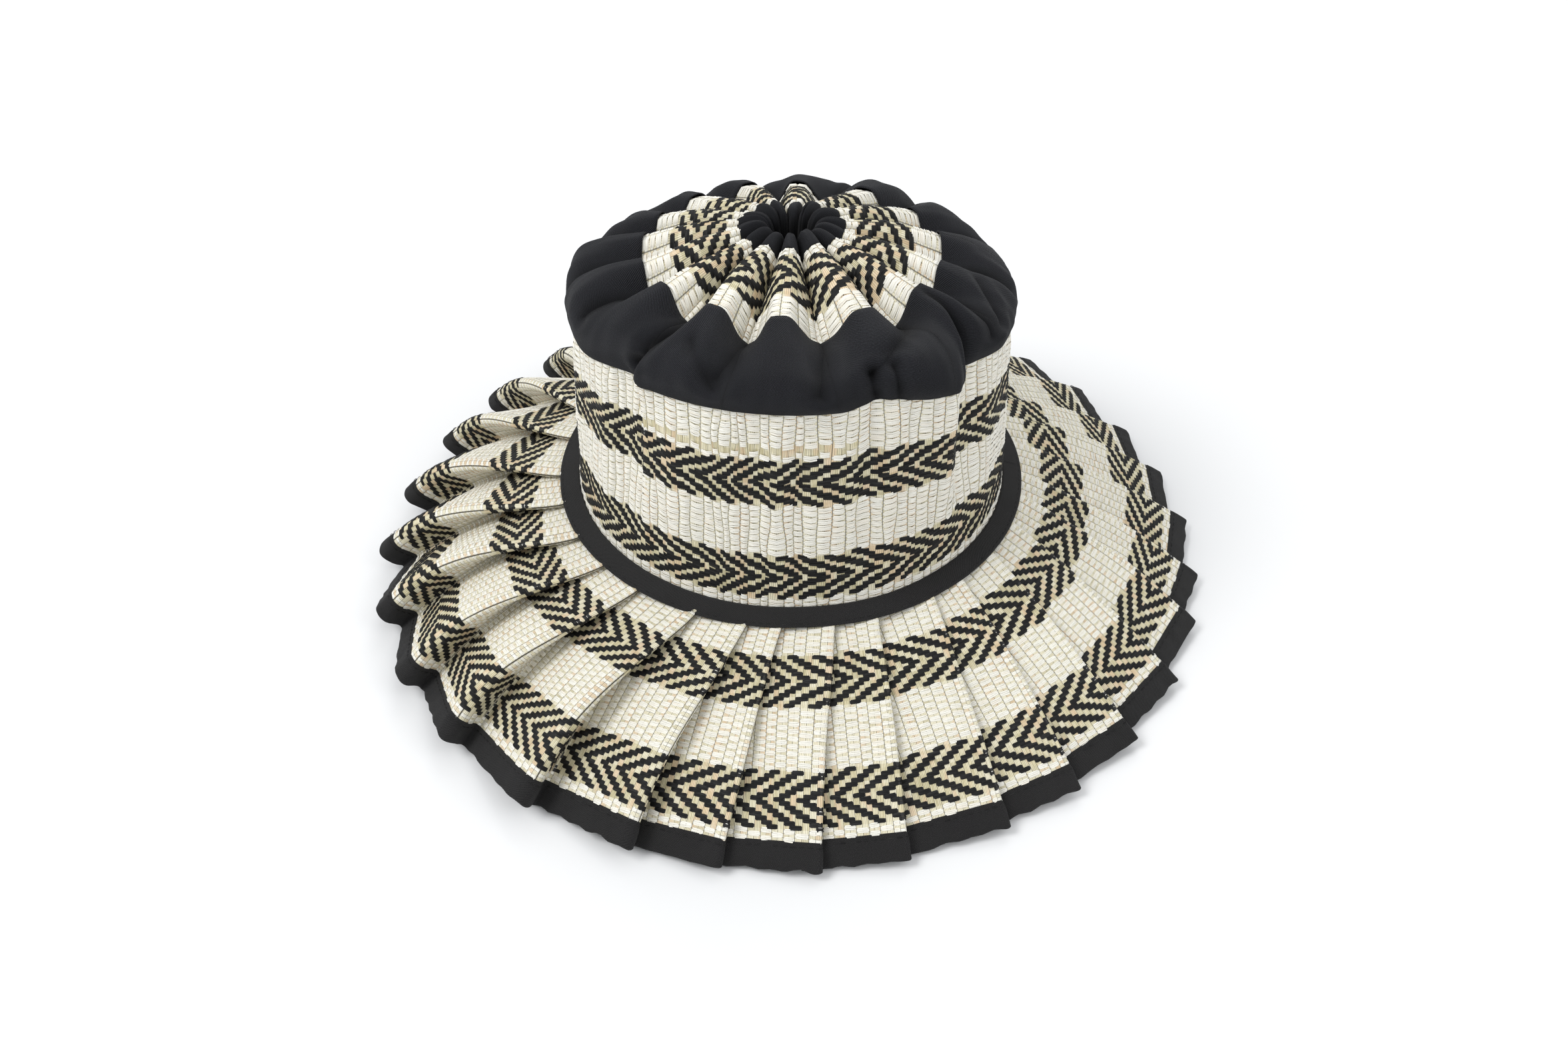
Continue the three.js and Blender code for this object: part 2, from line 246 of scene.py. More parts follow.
# Ridges of the crown's pleated top. Towards the ring their steep round arch fades to a wave
RIDGE_AZIMUTHS = np.array([8, 33, 60, 87, 109, 130, 151, 172, 195, 217, 241, 266, 296, 322, 342])
RIDGE_COUNT = len(RIDGE_AZIMUTHS)
ARCH_POWER = 2.4
ARCH_ROOT = 0.6
ARCH_STEEPNESS = 0.74
ARCH_FADE = (30.0, 62.0)
RING_FLATNESS = 0.8
BUNDLES_PER_RIDGE = 16

# Rows of the pleated disc, from the centre outwards: radius, ridge height, valley height, pick
DISC_ROWS = [
    (18.5, 164.2, 150.2, 6.0),
    (20.5, 164.2, 150.5, 7.2),
    (38.0, 161.5, 147.0, 20.0),
    (58.0, 155.0, 142.0, 34.5),
    (63.5, 152.0, 139.8, 38.5),
]

# Rows of the disc's sheet, and the steps by which normals are found
DISC_SHEET_ROWS = 25
DISC_NORMAL_STEP = 0.2
CLOTH_NORMAL_STEP = 0.01

# Rows of the gathered ring from its hem up: radius, ridge height, valley height, crease, hollow
RING_ROWS = [
    (89.9, 131.0, 131.0, 1.0, 0.0),
    (90.8, 134.5, 134.0, 1.0, 0.1),
    (90.0, 139.5, 138.6, 0.9, 0.4),
    (86.5, 145.4, 143.6, 0.6, 1.0),
    (80.0, 149.6, 146.4, 0.3, 0.8),
    (72.0, 153.2, 147.0, 0.1, 0.4),
    (60.0, 156.2, 143.6, 0.0, 0.0),
]

# The gathered centre, and the share across it at which it turns down into the hole
CENTRE_WIDTH = 34.0
CENTRE_GIRTH = 420.0
CENTRE_LENGTH = 10
CENTRE_GRID = (400, 26)
# From this share the centre's painted shade deepens into the mouth, over the next share
MOUTH_SHARE = 0.5
MOUTH_TURN = 0.2

# Rows of the gathered centre, from the disc into the hole: radius, ridge height, valley height,
# and how far its folds bulge into the hole
CENTRE_ROWS = [
    (21.4, 164.6, 150.8, 0.0),
    (19.4, 165.8, 151.8, 0.0),
    (15.8, 166.8, 154.6, 0.0),
    (12.8, 166.6, 158.0, 0.0),
    (10.8, 165.0, 159.4, 0.4),
    (9.8, 161.5, 157.8, 0.9),
    (9.3, 156.0, 153.5, 1.4),
    (9.0, 149.0, 147.5, 1.6),
    (8.0, 143.5, 143.0, 1.0),
]

# Camera of the photograph, and its field of view
CAMERA_PLACE = (-2.5, -537.8, 489.4)
CAMERA_AIM = (-2.5, -49.8, 60.0)
CAMERA_LENS = 36.54
CAMERA_SENSOR = 36.0

rng = np.random.default_rng(20)


def mix(a, b, share):
    return a + (b - a) * share


def smooth_step(x):
    t = np.clip(x, 0.0, 1.0)
    return t * t * (3.0 - 2.0 * t)


def smooth_between(x, start, end):
    """Share from 0 at the start to 1 at the end, which may lie on either side of the start."""
    return smooth_step((x - start) / (end - start))


def azimuth_difference(azimuth, start):
    """Signed angle from one azimuth to another, between -180 and 180."""
    return (azimuth - start + 180.0) % 360.0 - 180.0


def cyclic_table(table, azimuth):
    """Value of a table of (azimuth, value) rows that closes round the axis, smoothly between rows."""
    keys = np.array([row[0] for row in table], dtype=float)
    values = np.array([row[1] for row in table], dtype=float)
    turned = (azimuth - keys[0]) % 360.0 + keys[0]
    row = np.searchsorted(keys, turned, side="right") - 1
    after = (row + 1) % len(keys)
    span = (keys[after] - keys[row]) % 360.0
    return mix(values[row], values[after], smooth_step((turned - keys[row]) / span))


def spline_rows(rows, shares):
    """Catmull-Rom curve through the rows of a table, at shares from 0 to 1."""
    table = np.array(rows, dtype=float)
    table = np.vstack([2 * table[0] - table[1], table, 2 * table[-1] - table[-2]])
    position = np.clip(shares, 0.0, 1.0) * (len(rows) - 1)
    start = np.minimum(position.astype(int), len(rows) - 2)
    t = (position - start)[..., None]
    before, here, there, beyond = (table[start + k] for k in range(4))
    straight = 2 * here + (there - before) * t
    bend = (2 * before - 5 * here + 4 * there - beyond) * t**2
    twist = (3 * here - before - 3 * there + beyond) * t**3
    return 0.5 * (straight + bend + twist)


class Ripple:
    """A smooth field of small waves over azimuth in degrees and one length in millimetres."""

    def __init__(self, amplitude, turns, length, count=7):
        self.amplitude = amplitude / math.sqrt(count)
        self.turns = rng.integers(turns[0], turns[1] + 1, count)
        self.rates = rng.uniform(-2 * math.pi / length, 2 * math.pi / length, count)
        self.phases = rng.uniform(0, 2 * math.pi, count)

    def at(self, azimuth, length):
        total = 0.0
        for turns, rate, phase in zip(self.turns, self.rates, self.phases):
            total = total + np.sin(np.radians(azimuth) * turns + length * rate + phase)
        return total * self.amplitude


def polar_point(radius, azimuth, height):
    """Points at a radius, an azimuth in degrees and a height."""
    a = np.radians(azimuth)
    return np.stack(np.broadcast_arrays(radius * np.cos(a), radius * np.sin(a), height), axis=-1)


def three_values(shape, *parts):
    """Three values at every point of a grid, from arrays or numbers that spread over it."""
    return np.stack([np.broadcast_to(part, shape) for part in parts], axis=-1)


# Brim surface

MEAN_SLOPE = math.radians((BRIM_INNER_SLOPE + BRIM_OUTER_SLOPE) / 2)
HALF_BEND = math.radians((BRIM_OUTER_SLOPE - BRIM_INNER_SLOPE) / 2)
BRIM_SPAN = BRIM_OUTER_RADIUS - BRIM_INNER_RADIUS
STRIP_WIDTH = BRIM_SPAN / (math.cos(MEAN_SLOPE) * math.sin(HALF_BEND) / HALF_BEND)
BRIM_FIRST_PICK = 0.2


def brim_profile(across):
    """Slope, radius and height of the brim's base surface at a distance across the strip."""
    start = math.radians(BRIM_INNER_SLOPE)
    bend = 2 * HALF_BEND / STRIP_WIDTH
    slope = start + bend * across
    total = start + bend * STRIP_WIDTH
    radius = BRIM_INNER_RADIUS + (np.sin(slope) - math.sin(start)) / bend
    height = BRIM_REST_HEIGHT + (np.cos(slope) - math.cos(total)) / bend
    return slope, radius, height


def standing_share(azimuth):
    a = azimuth % 360.0
    return smooth_between(a, *STANDING_RISE) * smooth_between(a, *STANDING_FALL[::-1])


def solve_face(pitch, strip, fold_radii, opening):
    """Slope of a pleat's visible face, and length of its hidden underlay, found by halving."""
    straight = strip - fold_radii * (math.pi - opening)

    def underlay(a):
        level = np.cos(a) + np.cos(a + opening)
        return (straight * np.sin(a) - fold_radii * level) / (np.sin(a) + np.sin(a + opening))

    flat, steep = (np.full_like(pitch, math.radians(slope)) for slope in FACE_SLOPES)
    for _ in range(FACE_HALVINGS):
        a = (flat + steep) / 2
        turns = fold_radii * (np.sin(a) + np.sin(a + opening))
        advance = straight * np.cos(a) + turns - underlay(a) * (np.cos(a) + np.cos(a + opening))
        flat = np.where(advance > pitch, a, flat)
        steep = np.where(advance > pitch, steep, a)
    a = (flat + steep) / 2
    return a, underlay(a)


def pleat_table():
    """The solved section of every pleat, at each millimetre across the strip."""
    across = np.arange(0.0, STRIP_WIDTH + 2)
    _, radius, _ = brim_profile(across)
    share = np.clip(across / STRIP_WIDTH, 0, 1)
    standing = standing_share(VALLEY_AZIMUTHS + PANEL_DEGREES)[:, None]
    standing = standing * smooth_step(share * STANDING_ONSET)
    base = mix(INNER_FOLD_RADIUS, OUTER_FOLD_RADIUS, share)
    crest = base + standing * STANDING_CREST_RADIUS
    valley = base + standing * STANDING_VALLEY_RADIUS
    opening = math.radians(STANDING_OPEN_DEGREES) * standing
    pitch = np.radians(PANEL_DEGREES[:, None]) * radius
    face, underlay = solve_face(pitch, PANEL_STRIPS[:, None], crest + valley, opening)
    return np.stack([face, underlay, crest, valley, opening], axis=-1)


PLEAT_TABLE = pleat_table()


def pleat_values(pleat, across):
    """Face slope, underlay length, fold radii and opening of pleats, from their table."""
    position = np.clip(across, 0, STRIP_WIDTH)
    start = position.astype(int)
    share = (position - start)[..., None]
    found = mix(PLEAT_TABLE[pleat, start], PLEAT_TABLE[pleat, start + 1], share)
    return np.moveaxis(found, -1, 0)


def pleat_lengths(pleat, across):
    """Lengths along the strip at which one pleat's five stretches end, and its angles."""
    face, underlay, crest, valley, opening = pleat_values(pleat, across)
    under = face - math.pi + opening
    middle = (face + under) / 2
    straight = PANEL_STRIPS[pleat] - (crest + valley) * (face - under)
    ends = [valley * (face - middle)]
    ends.append(ends[-1] + straight - underlay)
    ends.append(ends[-1] + crest * (face - under))
    ends.append(ends[-1] + underlay)
    return ends, (face, under, middle), (crest, valley)


def crest_length(pleat, across):
    """Length along the strip from a pleat's valley to the top of its crest fold."""
    ends, _, _ = pleat_lengths(pleat, across)
    return (ends[1] + ends[2]) / 2


def pleat_section(pleat, along, across):
    """Advance along the brim, height off it and direction of the strip in one pleat's section."""
    ends, (face, under, middle), (crest, valley) = pleat_lengths(pleat, across)
    advance, height, direction = 0.0, valley * (1 - np.cos(middle)), middle

    # Out of the valley's arc, up the face, over the crest's arc, back along the underlay, and
    # into the next valley's arc
    starts = (0, *ends)
    spans = (ends[0], *np.diff(ends, axis=0), np.inf)
    slopes = (middle, face, face, under, under)
    bends = (1 / valley, None, -1 / crest, None, 1 / valley)
    for start, span, slope, bend in zip(starts, spans, slopes, bends):
        length = np.clip(along - start, 0, span)
        if bend is None:
            advance = advance + length * np.cos(slope)
            height = height + length * np.sin(slope)
        else:
            turned = slope + length * bend
            advance = advance + (np.sin(turned) - np.sin(slope)) / bend
            height = height + (np.cos(slope) - np.cos(turned)) / bend
            direction = direction + length * bend
    return advance, height, direction


BRIM_LIFT = Ripple(0.55, (3, 22), 90)
BRIM_SWAY = Ripple(0.5, (5, 26), 70)


def panel_chord(pleat, angle):
    """Share of the even round's radius at which a panel's straight rows run, by the angle from its
    valley in radians: below 1 within the panel, above 1 where its crest overlaps the next."""
    half = np.radians(PANEL_DEGREES[pleat]) / 2
    return np.cos(half) / np.cos(angle - half)


def brim_place(pleat, along, across):
    """Points and normals of the brim strip's middle surface."""
    slope, base_radius, base_height = brim_profile(across)
    advance, height, direction = pleat_section(pleat, along, across)
    azimuth = VALLEY_AZIMUTHS[pleat] + np.degrees(advance / base_radius)
    share = np.clip(across / STRIP_WIDTH, 0, OVERHANG_SHARE)
    free = np.sin(math.pi * np.clip(share, 0, 1)) ** 0.5
    radius = base_radius * panel_chord(pleat, advance / base_radius)
    radius = radius + cyclic_table(BRIM_REACH, azimuth) * share**2
    crest = crest_length(pleat, across)
    strip = PANEL_STRIPS[pleat]
    outwards = np.minimum(along / crest, (strip - along) / (strip - crest)) - 0.5
    radius = radius + cyclic_table(PANEL_SKEW, VALLEY_AZIMUTHS[pleat]) * outwards * share
    swayed = azimuth + np.degrees(BRIM_SWAY.at(azimuth, across) / base_radius)
    lift = height + BRIM_LIFT.at(azimuth, across) * free
    off = polar_point(np.sin(slope), swayed, np.cos(slope))
    around = polar_point(1.0, swayed + 90.0, 0.0)
    point = polar_point(radius, swayed, base_height) + off * lift[..., None]
    normal = off * np.cos(direction)[..., None] - around * np.sin(direction)[..., None]
    return point, normal


def bundle_edges(rows, count, variation):
    """Places of the bundles' edges, in bundles of varied width that come in pairs."""
    widths = BUNDLE_WIDTH * (1 + variation * rng.uniform(-1, 1, (rows, count // 2)))
    edges = np.cumsum(np.repeat(widths, 2, axis=1), axis=1)
    return np.concatenate([np.zeros((rows, 1)), edges], axis=1)


FACE_BUNDLES = 30
UNDERLAY_BUNDLES = 20
PLEAT_BUNDLES = 100
BRIM_FIRST_BUNDLE = 1000
CREST_BUNDLE = BRIM_FIRST_BUNDLE + 40
FACE_EDGES = bundle_edges(PANEL_COUNT, FACE_BUNDLES, BRIM_VARIATION)
UNDERLAY_EDGES = bundle_edges(PANEL_COUNT, UNDERLAY_BUNDLES, BRIM_VARIATION)


def interpolate_rows(table, row, position):
    """Linear look-up in one row of a table at a fractional position."""
    position = np.clip(position, 0, table.shape[1] - 1.001)
    start = position.astype(int)
    return mix(table[row, start], table[row, start + 1], position - start)


def bundle_of_distance(pleat, distance):
    """Bundle coordinate at a signed distance from the crest, positive on the visible face."""
    found = np.zeros_like(distance)
    for p in range(PANEL_COUNT):
        mine = pleat == p
        face = np.interp(distance[mine], FACE_EDGES[p], np.arange(FACE_BUNDLES + 1))
        under = np.interp(-distance[mine], UNDERLAY_EDGES[p], np.arange(UNDERLAY_BUNDLES + 1))
        found[mine] = p * PLEAT_BUNDLES + CREST_BUNDLE - face + under
    return found


def distance_of_bundle(bundle):
    """Pleat number and signed distance from its crest at a bundle coordinate."""
    pleat = np.clip((bundle - BRIM_FIRST_BUNDLE) // PLEAT_BUNDLES, 0, PANEL_COUNT - 1).astype(int)
    local = bundle - pleat * PLEAT_BUNDLES - CREST_BUNDLE
    face = interpolate_rows(FACE_EDGES, pleat, np.maximum(-local, 0))
    under = interpolate_rows(UNDERLAY_EDGES, pleat, np.maximum(local, 0))
    return pleat, face - under


def brim_weave_place(bundle, pick):
    """Points and normals of the brim mat at weave coordinates."""
    pleat, distance = distance_of_bundle(bundle)
    across = (pick - BRIM_FIRST_PICK) * PICK_PITCH
    return brim_place(pleat, crest_length(pleat, across) - distance, across)


# Crown surfaces


def crease_offset(azimuth, creases):
    """Change of radius that a table of creases or hollows makes at an azimuth."""
    offset = np.zeros_like(azimuth)
    for centre, depth, before, after in creases:
        d = azimuth_difference(azimuth, centre)
        width = np.where(d < 0, before, after)
        offset += depth * smooth_step(1 - np.abs(d) / width)
    return offset


def crown_climb(height):
    return np.maximum(height - WALL_FULL_HEIGHT, 0) / (SEAM_HEIGHT - WALL_FULL_HEIGHT)


def crown_point(radius, azimuth, height):
    """A point of the leaning crown: radius from its axis, and height on the axis."""
    climb = crown_climb(height)
    a = np.radians(azimuth)
    x = radius * np.cos(a)
    y = radius * np.sin(a) + LEAN_SHIFT * climb
    z = height - LEAN_TILT * y * climb
    return np.stack([x, y, z], axis=-1)


WALL_RIPPLE = Ripple(0.55, (4, 30), 120)
WALL_FLUTES = Ripple(0.5, (18, 48), 700)
WALL_SWAY = Ripple(0.3, (20, 70), 22)
WALL_WAVE = Ripple(0.22, (20, 60), 40)


def wall_point(azimuth, height):
    climb = crown_climb(height)
    crease = crease_offset(azimuth, WALL_CREASES) * smooth_step(climb)
    radius = mix(WALL_BASE_RADIUS, WALL_TOP_RADIUS, climb) + crease
    waves = WALL_RIPPLE.at(azimuth, height) + WALL_FLUTES.at(azimuth, height)
    free = smooth_step(climb / WAVE_GROWTH) * smooth_step((SEAM_HEIGHT - height) / WAVE_FADE)
    return crown_point(radius + waves * free, azimuth, height)


def surface_normals(point_of, first, second, step, outwards):
    """Unit normals by finite differences. Outwards says that the second coordinate runs away
    from the axis on the upper side, and otherwise it climbs on the outer side."""
    along = point_of(first, second + step) - point_of(first, second - step)
    around = point_of(first + step, second) - point_of(first - step, second)
    normal = np.cross(along, around) if outwards else np.cross(around, along)
    return normal / np.linalg.norm(normal, axis=-1, keepdims=True)


WALL_EDGES = bundle_edges(1, WALL_BUNDLES, WALL_VARIATION)
WALL_EDGES *= 360.0 / WALL_EDGES[0, -1]


def wall_azimuth(bundle):
    turns = np.floor(bundle / WALL_BUNDLES)
    local = bundle - turns * WALL_BUNDLES
    row = np.zeros(np.shape(local), dtype=int)
    return interpolate_rows(WALL_EDGES, row, local) + 360.0 * turns


def wall_pick(height):
    return WALL_FIRST_PICK + (height - WALL_FIRST_HEIGHT) / WALL_PICK_PITCH


def wall_weave_point(bundle, pick):
    height = WALL_FIRST_HEIGHT + (pick - WALL_FIRST_PICK) * WALL_PICK_PITCH
    azimuth = wall_azimuth(bundle)
    return wall_point(azimuth + WALL_SWAY.at(azimuth, height), height + WALL_WAVE.at(azimuth, height))


def wall_weave_place(bundle, pick):
    """Points and outward normals of the crown wall's mat at weave coordinates."""
    normals = surface_normals(wall_weave_point, bundle, pick, WALL_NORMAL_STEP, False)
    return wall_weave_point(bundle, pick), normals


def ridge_arch(share):
    """Height share of a steep round ridge, with narrow valleys at shares of 0.5 either way."""
    away = np.abs(share - np.round(share)) * 2
    return np.maximum(1 - away**ARCH_POWER, 0.0) ** ARCH_ROOT


# Where a ridge's share lies when straw is spread evenly over its slopes
SPREAD_SHARES = np.linspace(0, 1, 401)
SPREAD_STEPS = np.hypot(np.diff(SPREAD_SHARES), ARCH_STEEPNESS * np.diff(ridge_arch(SPREAD_SHARES)))
SPREAD_LENGTHS = np.concatenate([[0], np.cumsum(SPREAD_STEPS)]) / np.sum(SPREAD_STEPS)


def ridge_wave(position, flatness):
    """Azimuth and height share at a position counted in ridges: 1 on a ridge, 0 in a valley."""
    turns = np.floor(position / RIDGE_COUNT)
    local = position - turns * RIDGE_COUNT
    start = np.clip(local.astype(int), 0, RIDGE_COUNT - 1)
    share = np.interp(local - start, SPREAD_LENGTHS, SPREAD_SHARES)
    here = RIDGE_AZIMUTHS[start]
    span = (RIDGE_AZIMUTHS[(start + 1) % RIDGE_COUNT] - here) % 360
    even = smooth_step(0.5 + 0.5 * np.cos(2 * math.pi * share))
    return here + span * share + 360.0 * turns, mix(ridge_arch(share), even, flatness)


def disc_shares(pick):
    picks = [row[3] for row in DISC_ROWS]
    return np.interp(pick, picks, np.linspace(0, 1, len(picks)))


TOP_SWAY = Ripple(1.5, (2, 8), 45)
TOP_LIFT = Ripple(0.8, (3, 9), 50)


def top_point(radius, azimuth, height, share=1.0):
    """A point of the crown's pleated top, whose ridges wander a little and rise unevenly."""
    swayed = azimuth + TOP_SWAY.at(azimuth, radius) * share
    return crown_point(radius, swayed, height + TOP_LIFT.at(azimuth, radius) * share)


def disc_weave_point(bundle, pick):
    rows = spline_rows(DISC_ROWS, disc_shares(pick))
    flatness = smooth_between(rows[..., 0], *ARCH_FADE) * RING_FLATNESS
    azimuth, wave = ridge_wave(bundle / BUNDLES_PER_RIDGE, flatness)
    return top_point(rows[..., 0], azimuth, mix(rows[..., 2], rows[..., 1], wave))


def disc_weave_place(bundle, pick):
    """Points and upward normals of the pleated disc at weave coordinates."""
    normals = surface_normals(disc_weave_point, bundle, pick, DISC_NORMAL_STEP, True)
    return disc_weave_point(bundle, pick), normals


RING_PUFF = Ripple(1.2, (6, 17), 60)
RING_GATHER = Ripple(0.16, (35, 80), 60)


def fold_depth(azimuth, length, folds):
    """How far the cloth is pressed in at an azimuth and a length across it, with raised lips."""
    depth = np.zeros(np.broadcast(azimuth, length).shape)
    for start, start_share, end, end_share, deep, width in folds:
        x = np.radians(azimuth_difference(azimuth, start)) * FOLD_RADIUS
        y = length - start_share * RING_WIDTH
        run_around = math.radians(end - start) * FOLD_RADIUS
        run = np.array([run_around, (end_share - start_share) * RING_WIDTH])
        t = np.clip((x * run[0] + y * run[1]) / (run @ run), 0, 1)
        distance = np.hypot(x - t * run[0], y - t * run[1]) / width
        lip = np.exp(-(((distance - LIP_DISTANCE) / LIP_BREADTH) ** 2))
        depth = depth + deep * (np.exp(-distance) - LIP_SHARE * lip)
    return depth


def ring_point(position, share):
    azimuth, wave = ridge_wave(position, mix(1.0, RING_FLATNESS, share))
    rows = spline_rows(RING_ROWS, share)
    radius = rows[..., 0] + crease_offset(azimuth, WALL_CREASES) * rows[..., 3]
    radius = radius + crease_offset(azimuth, RING_HOLLOWS) * rows[..., 4]
    within = np.clip(share, 0, 1)
    free = np.sin(math.pi * within)
    gathered = mix(SEWN_GATHER, 1.0, free)
    out = RING_PUFF.at(azimuth, share * PUFF_LENGTH) * free
    out = out + RING_GATHER.at(azimuth, share * GATHER_LENGTH) * gathered
    out = out - fold_depth(azimuth, share * RING_WIDTH, RING_FOLDS) * gathered
    turn = within * math.pi / 2
    hem = cyclic_table(HEM_RISE, azimuth) * (1 - within) ** 2
    height = mix(rows[..., 2], rows[..., 1], wave) + out * np.sin(turn) + hem
    return top_point(radius + out * np.cos(turn), azimuth, height, smooth_step(share * SWAY_ONSET))


def ring_painted_shade(position, share):
    """How deep in a fold a place of the ring lies, up to about 1, as the share of painted shade
    there.
    """
    azimuth, _ = ridge_wave(position, 1.0)
    return fold_depth(azimuth, share * RING_WIDTH, RING_FOLDS) / DEEP_FOLD


CENTRE_GATHER = Ripple(0.25, (25, 60), 20)


# Painted shade of the centre: darker in its valleys, and fully dark inside the mouth
def centre_painted_shade(position, share):
    _, wave = ridge_wave(position, 0.0)
    return mix(1 - wave, 1.0, smooth_step((share - MOUTH_SHARE) / MOUTH_TURN))


def centre_point(position, share):
    azimuth, wave = ridge_wave(position, 0.0)
    rows = spline_rows(CENTRE_ROWS, share)
    height = mix(rows[..., 2], rows[..., 1], wave) + CENTRE_GATHER.at(azimuth, share * CENTRE_LENGTH)
    return top_point(rows[..., 0] - rows[..., 3] * wave, azimuth, height)


# Meshes


def grid_quads(columns, rows, closed):
    """Quads of a grid whose points run row by row within each column."""
    count = columns if closed else columns - 1
    i = np.arange(count)[:, None]
    j = np.arange(rows - 1)[None, :]
    here = i * rows + j
    there = ((i + 1) % columns) * rows + j
    return np.stack([here, there, there + 1, here + 1], axis=-1).reshape(-1, 4)


def patch_quads(count, columns, rows):
    """Quads of many separate grids of one size, one after the other."""
    starts = np.arange(count)[:, None, None] * columns * rows
    return (grid_quads(columns, rows, False)[None] + starts).reshape(-1, 4)


def make_piece(name, points, quads, fields, material):
    """A mesh object of the hat from points in millimetres, riding on the hat's one body."""
    mesh = bpy.data.meshes.new(name)
    flat = ((points.reshape(-1, 3) + CROWN_AXIS) * METRES_PER_MM).astype(np.float32)
    mesh.vertices.add(len(flat))
    mesh.vertices.foreach_set("co", flat.ravel())
    mesh.loops.add(quads.size)
    mesh.loops.foreach_set("vertex_index", quads.ravel().astype(np.int32))
    mesh.polygons.add(len(quads))
    mesh.polygons.foreach_set("loop_start", np.arange(0, quads.size, 4, dtype=np.int32))
    for field, values in fields.items():
        attribute = mesh.attributes.new(field, "FLOAT_VECTOR", "POINT")
        attribute.data.foreach_set("vector", values.reshape(-1).astype(np.float32))
    mesh.update(calc_edges=True)
    mesh.shade_smooth()
    mesh.materials.append(material)
    piece = bpy.data.objects.new(name, mesh)
    bpy.context.collection.objects.link(piece)
    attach(piece, "root")
    return piece


def closed_sheet(name, outer, inner, fields, material, outwards):
    """A thin sheet closed round the axis, from grids of points and fields, outer side first."""
    columns, rows = outer.shape[:2]
    quads = grid_quads(columns, rows, True)
    count = columns * rows
    faces = [quads, quads[:, ::-1] + count]
    i = np.arange(columns)
    after = (i + 1) % columns
    for row, turn in ((0, -1), (rows - 1, 1)):
        rim = np.stack([i * rows, after * rows, after * rows + count, i * rows + count], axis=-1)
        faces.append((rim + row)[:, ::turn])
    faces = np.concatenate(faces)
    faces = faces[:, ::-1] if outwards else faces
    both = {field: np.concatenate(pair) for field, pair in fields.items()}
    return make_piece(name, np.concatenate([outer, inner]), faces, both, material)


# Weave


def herringbone_shift(pick):
    """Bundles by which the twill has moved at a pick, and whether the pick lies in a band."""
    shift = np.zeros(np.shape(pick), dtype=int)
    inside = np.zeros(np.shape(pick), dtype=bool)
    for (start, end), side in zip(HERRINGBONES, (1, -1)):
        mine = (pick >= start) & (pick < end)
        shift = np.where(mine, side * np.abs(pick - (start + end - 1) // 2), shift)
        inside |= mine
    return shift, inside


def weave_floats(bundles, picks):
    """First bundle and pick of every white and of every black float in a range of both."""
    bundle, pick = np.meshgrid(bundles, picks, indexing="ij")
    shift, inside = herringbone_shift(pick)
    white = ~inside & (bundle % 2 == 0) & ((bundle // 2 + pick) % 2 == 0)
    black = inside & ((bundle + shift) % TWILL_REPEAT == 0)
    return (bundle[white], pick[white]), (bundle[black], pick[black])


def float_ribbons(place, bundle, pick, style):
    """Raised flat threads over a float's bundles, as grids of points with their grain field."""
    threads = style["threads"]
    each = (len(bundle), threads, 1, 1)
    whole = (len(bundle), 1, 1, 1)
    shape = (len(bundle), threads, len(style["along"]), len(style["across"]))
    along = np.reshape(style["along"], (-1, 1))
    across = np.array(style["across"])
    number = np.reshape(np.arange(threads) + 0.5, (-1, 1, 1))
    slant = rng.normal(0, style["slant"], whole) + rng.normal(0, style["loose"], each)
    bow = rng.normal(0, style["bow"], whole) + rng.normal(0, style["loose"], each)
    breadth = style["cover"] / threads
    trim = style["trim"] * rng.uniform(0.4, 1.0, each)
    centred = along - 0.5
    picks = pick.reshape(whole) + 0.5 - style["cover"] / 2 + breadth * number
    picks = picks + breadth * 0.5 * across * style["fill"]
    picks = picks + slant * centred + bow * (0.25 - centred**2)
    bundles = bundle.reshape(whole) + mix(trim, FLOAT_BUNDLES - trim, along)
    points, normals = place(np.broadcast_to(bundles, shape), np.broadcast_to(picks, shape))
    tallness = rng.normal(1, style["unevenness"], each)
    rise = np.reshape(style["rise"], (-1, 1)) * tallness
    lift = MAT_THICKNESS / 2 + rise - style["round"] * across**2
    points = points + normals * lift[..., None]
    seed = rng.uniform(0, 1, each)
    thread_across = (number + 0.5 * across) * breadth * PICK_PITCH
    grain = three_values(shape, along * FLOAT_BUNDLES * BUNDLE_WIDTH, thread_across, seed)
    return points, patch_quads(len(bundle) * threads, *shape[2:]), grain


# Styles of floats. Along and rise give the shape from end to end, across and round the shape from
# side to side, and cover how many picks wide a float is. The last five make floats uneven.
BRIM_WHITE = {
    "threads": 3, "along": (0, 0.12, 0.88, 1), "rise": (-0.15, 0.2, 0.2, -0.15),
    "across": (-1, 0, 1), "round": 0.12, "cover": 1.42, "fill": 0.86, "trim": 0.12,
    "slant": 0.12, "bow": 0.22, "loose": 0.1, "unevenness": 0.3,
}
CROWN_WHITE = dict(
    BRIM_WHITE, along=(0, 0.1, 0.5, 0.9, 1), rise=(-0.3, 0.24, 0.55, 0.24, -0.3), round=0.16,
    cover=1.7, fill=1.0, trim=0.08, slant=0.14, bow=0.34, loose=0.07, unevenness=0.14,
)
BRIM_BLACK = dict(
    CROWN_WHITE, threads=2, rise=(-0.15, 0.28, 0.42, 0.28, -0.15), round=0.14,
    cover=1.22, trim=0.04, slant=0.1, bow=0.16, loose=0.06, unevenness=0.16,
)
CROWN_BLACK = dict(
    BRIM_BLACK, rise=(-0.15, 0.28, 0.46, 0.28, -0.15), round=0.16,
    cover=1.5, trim=-0.12, slant=0.12, bow=0.2, loose=0.08,
)


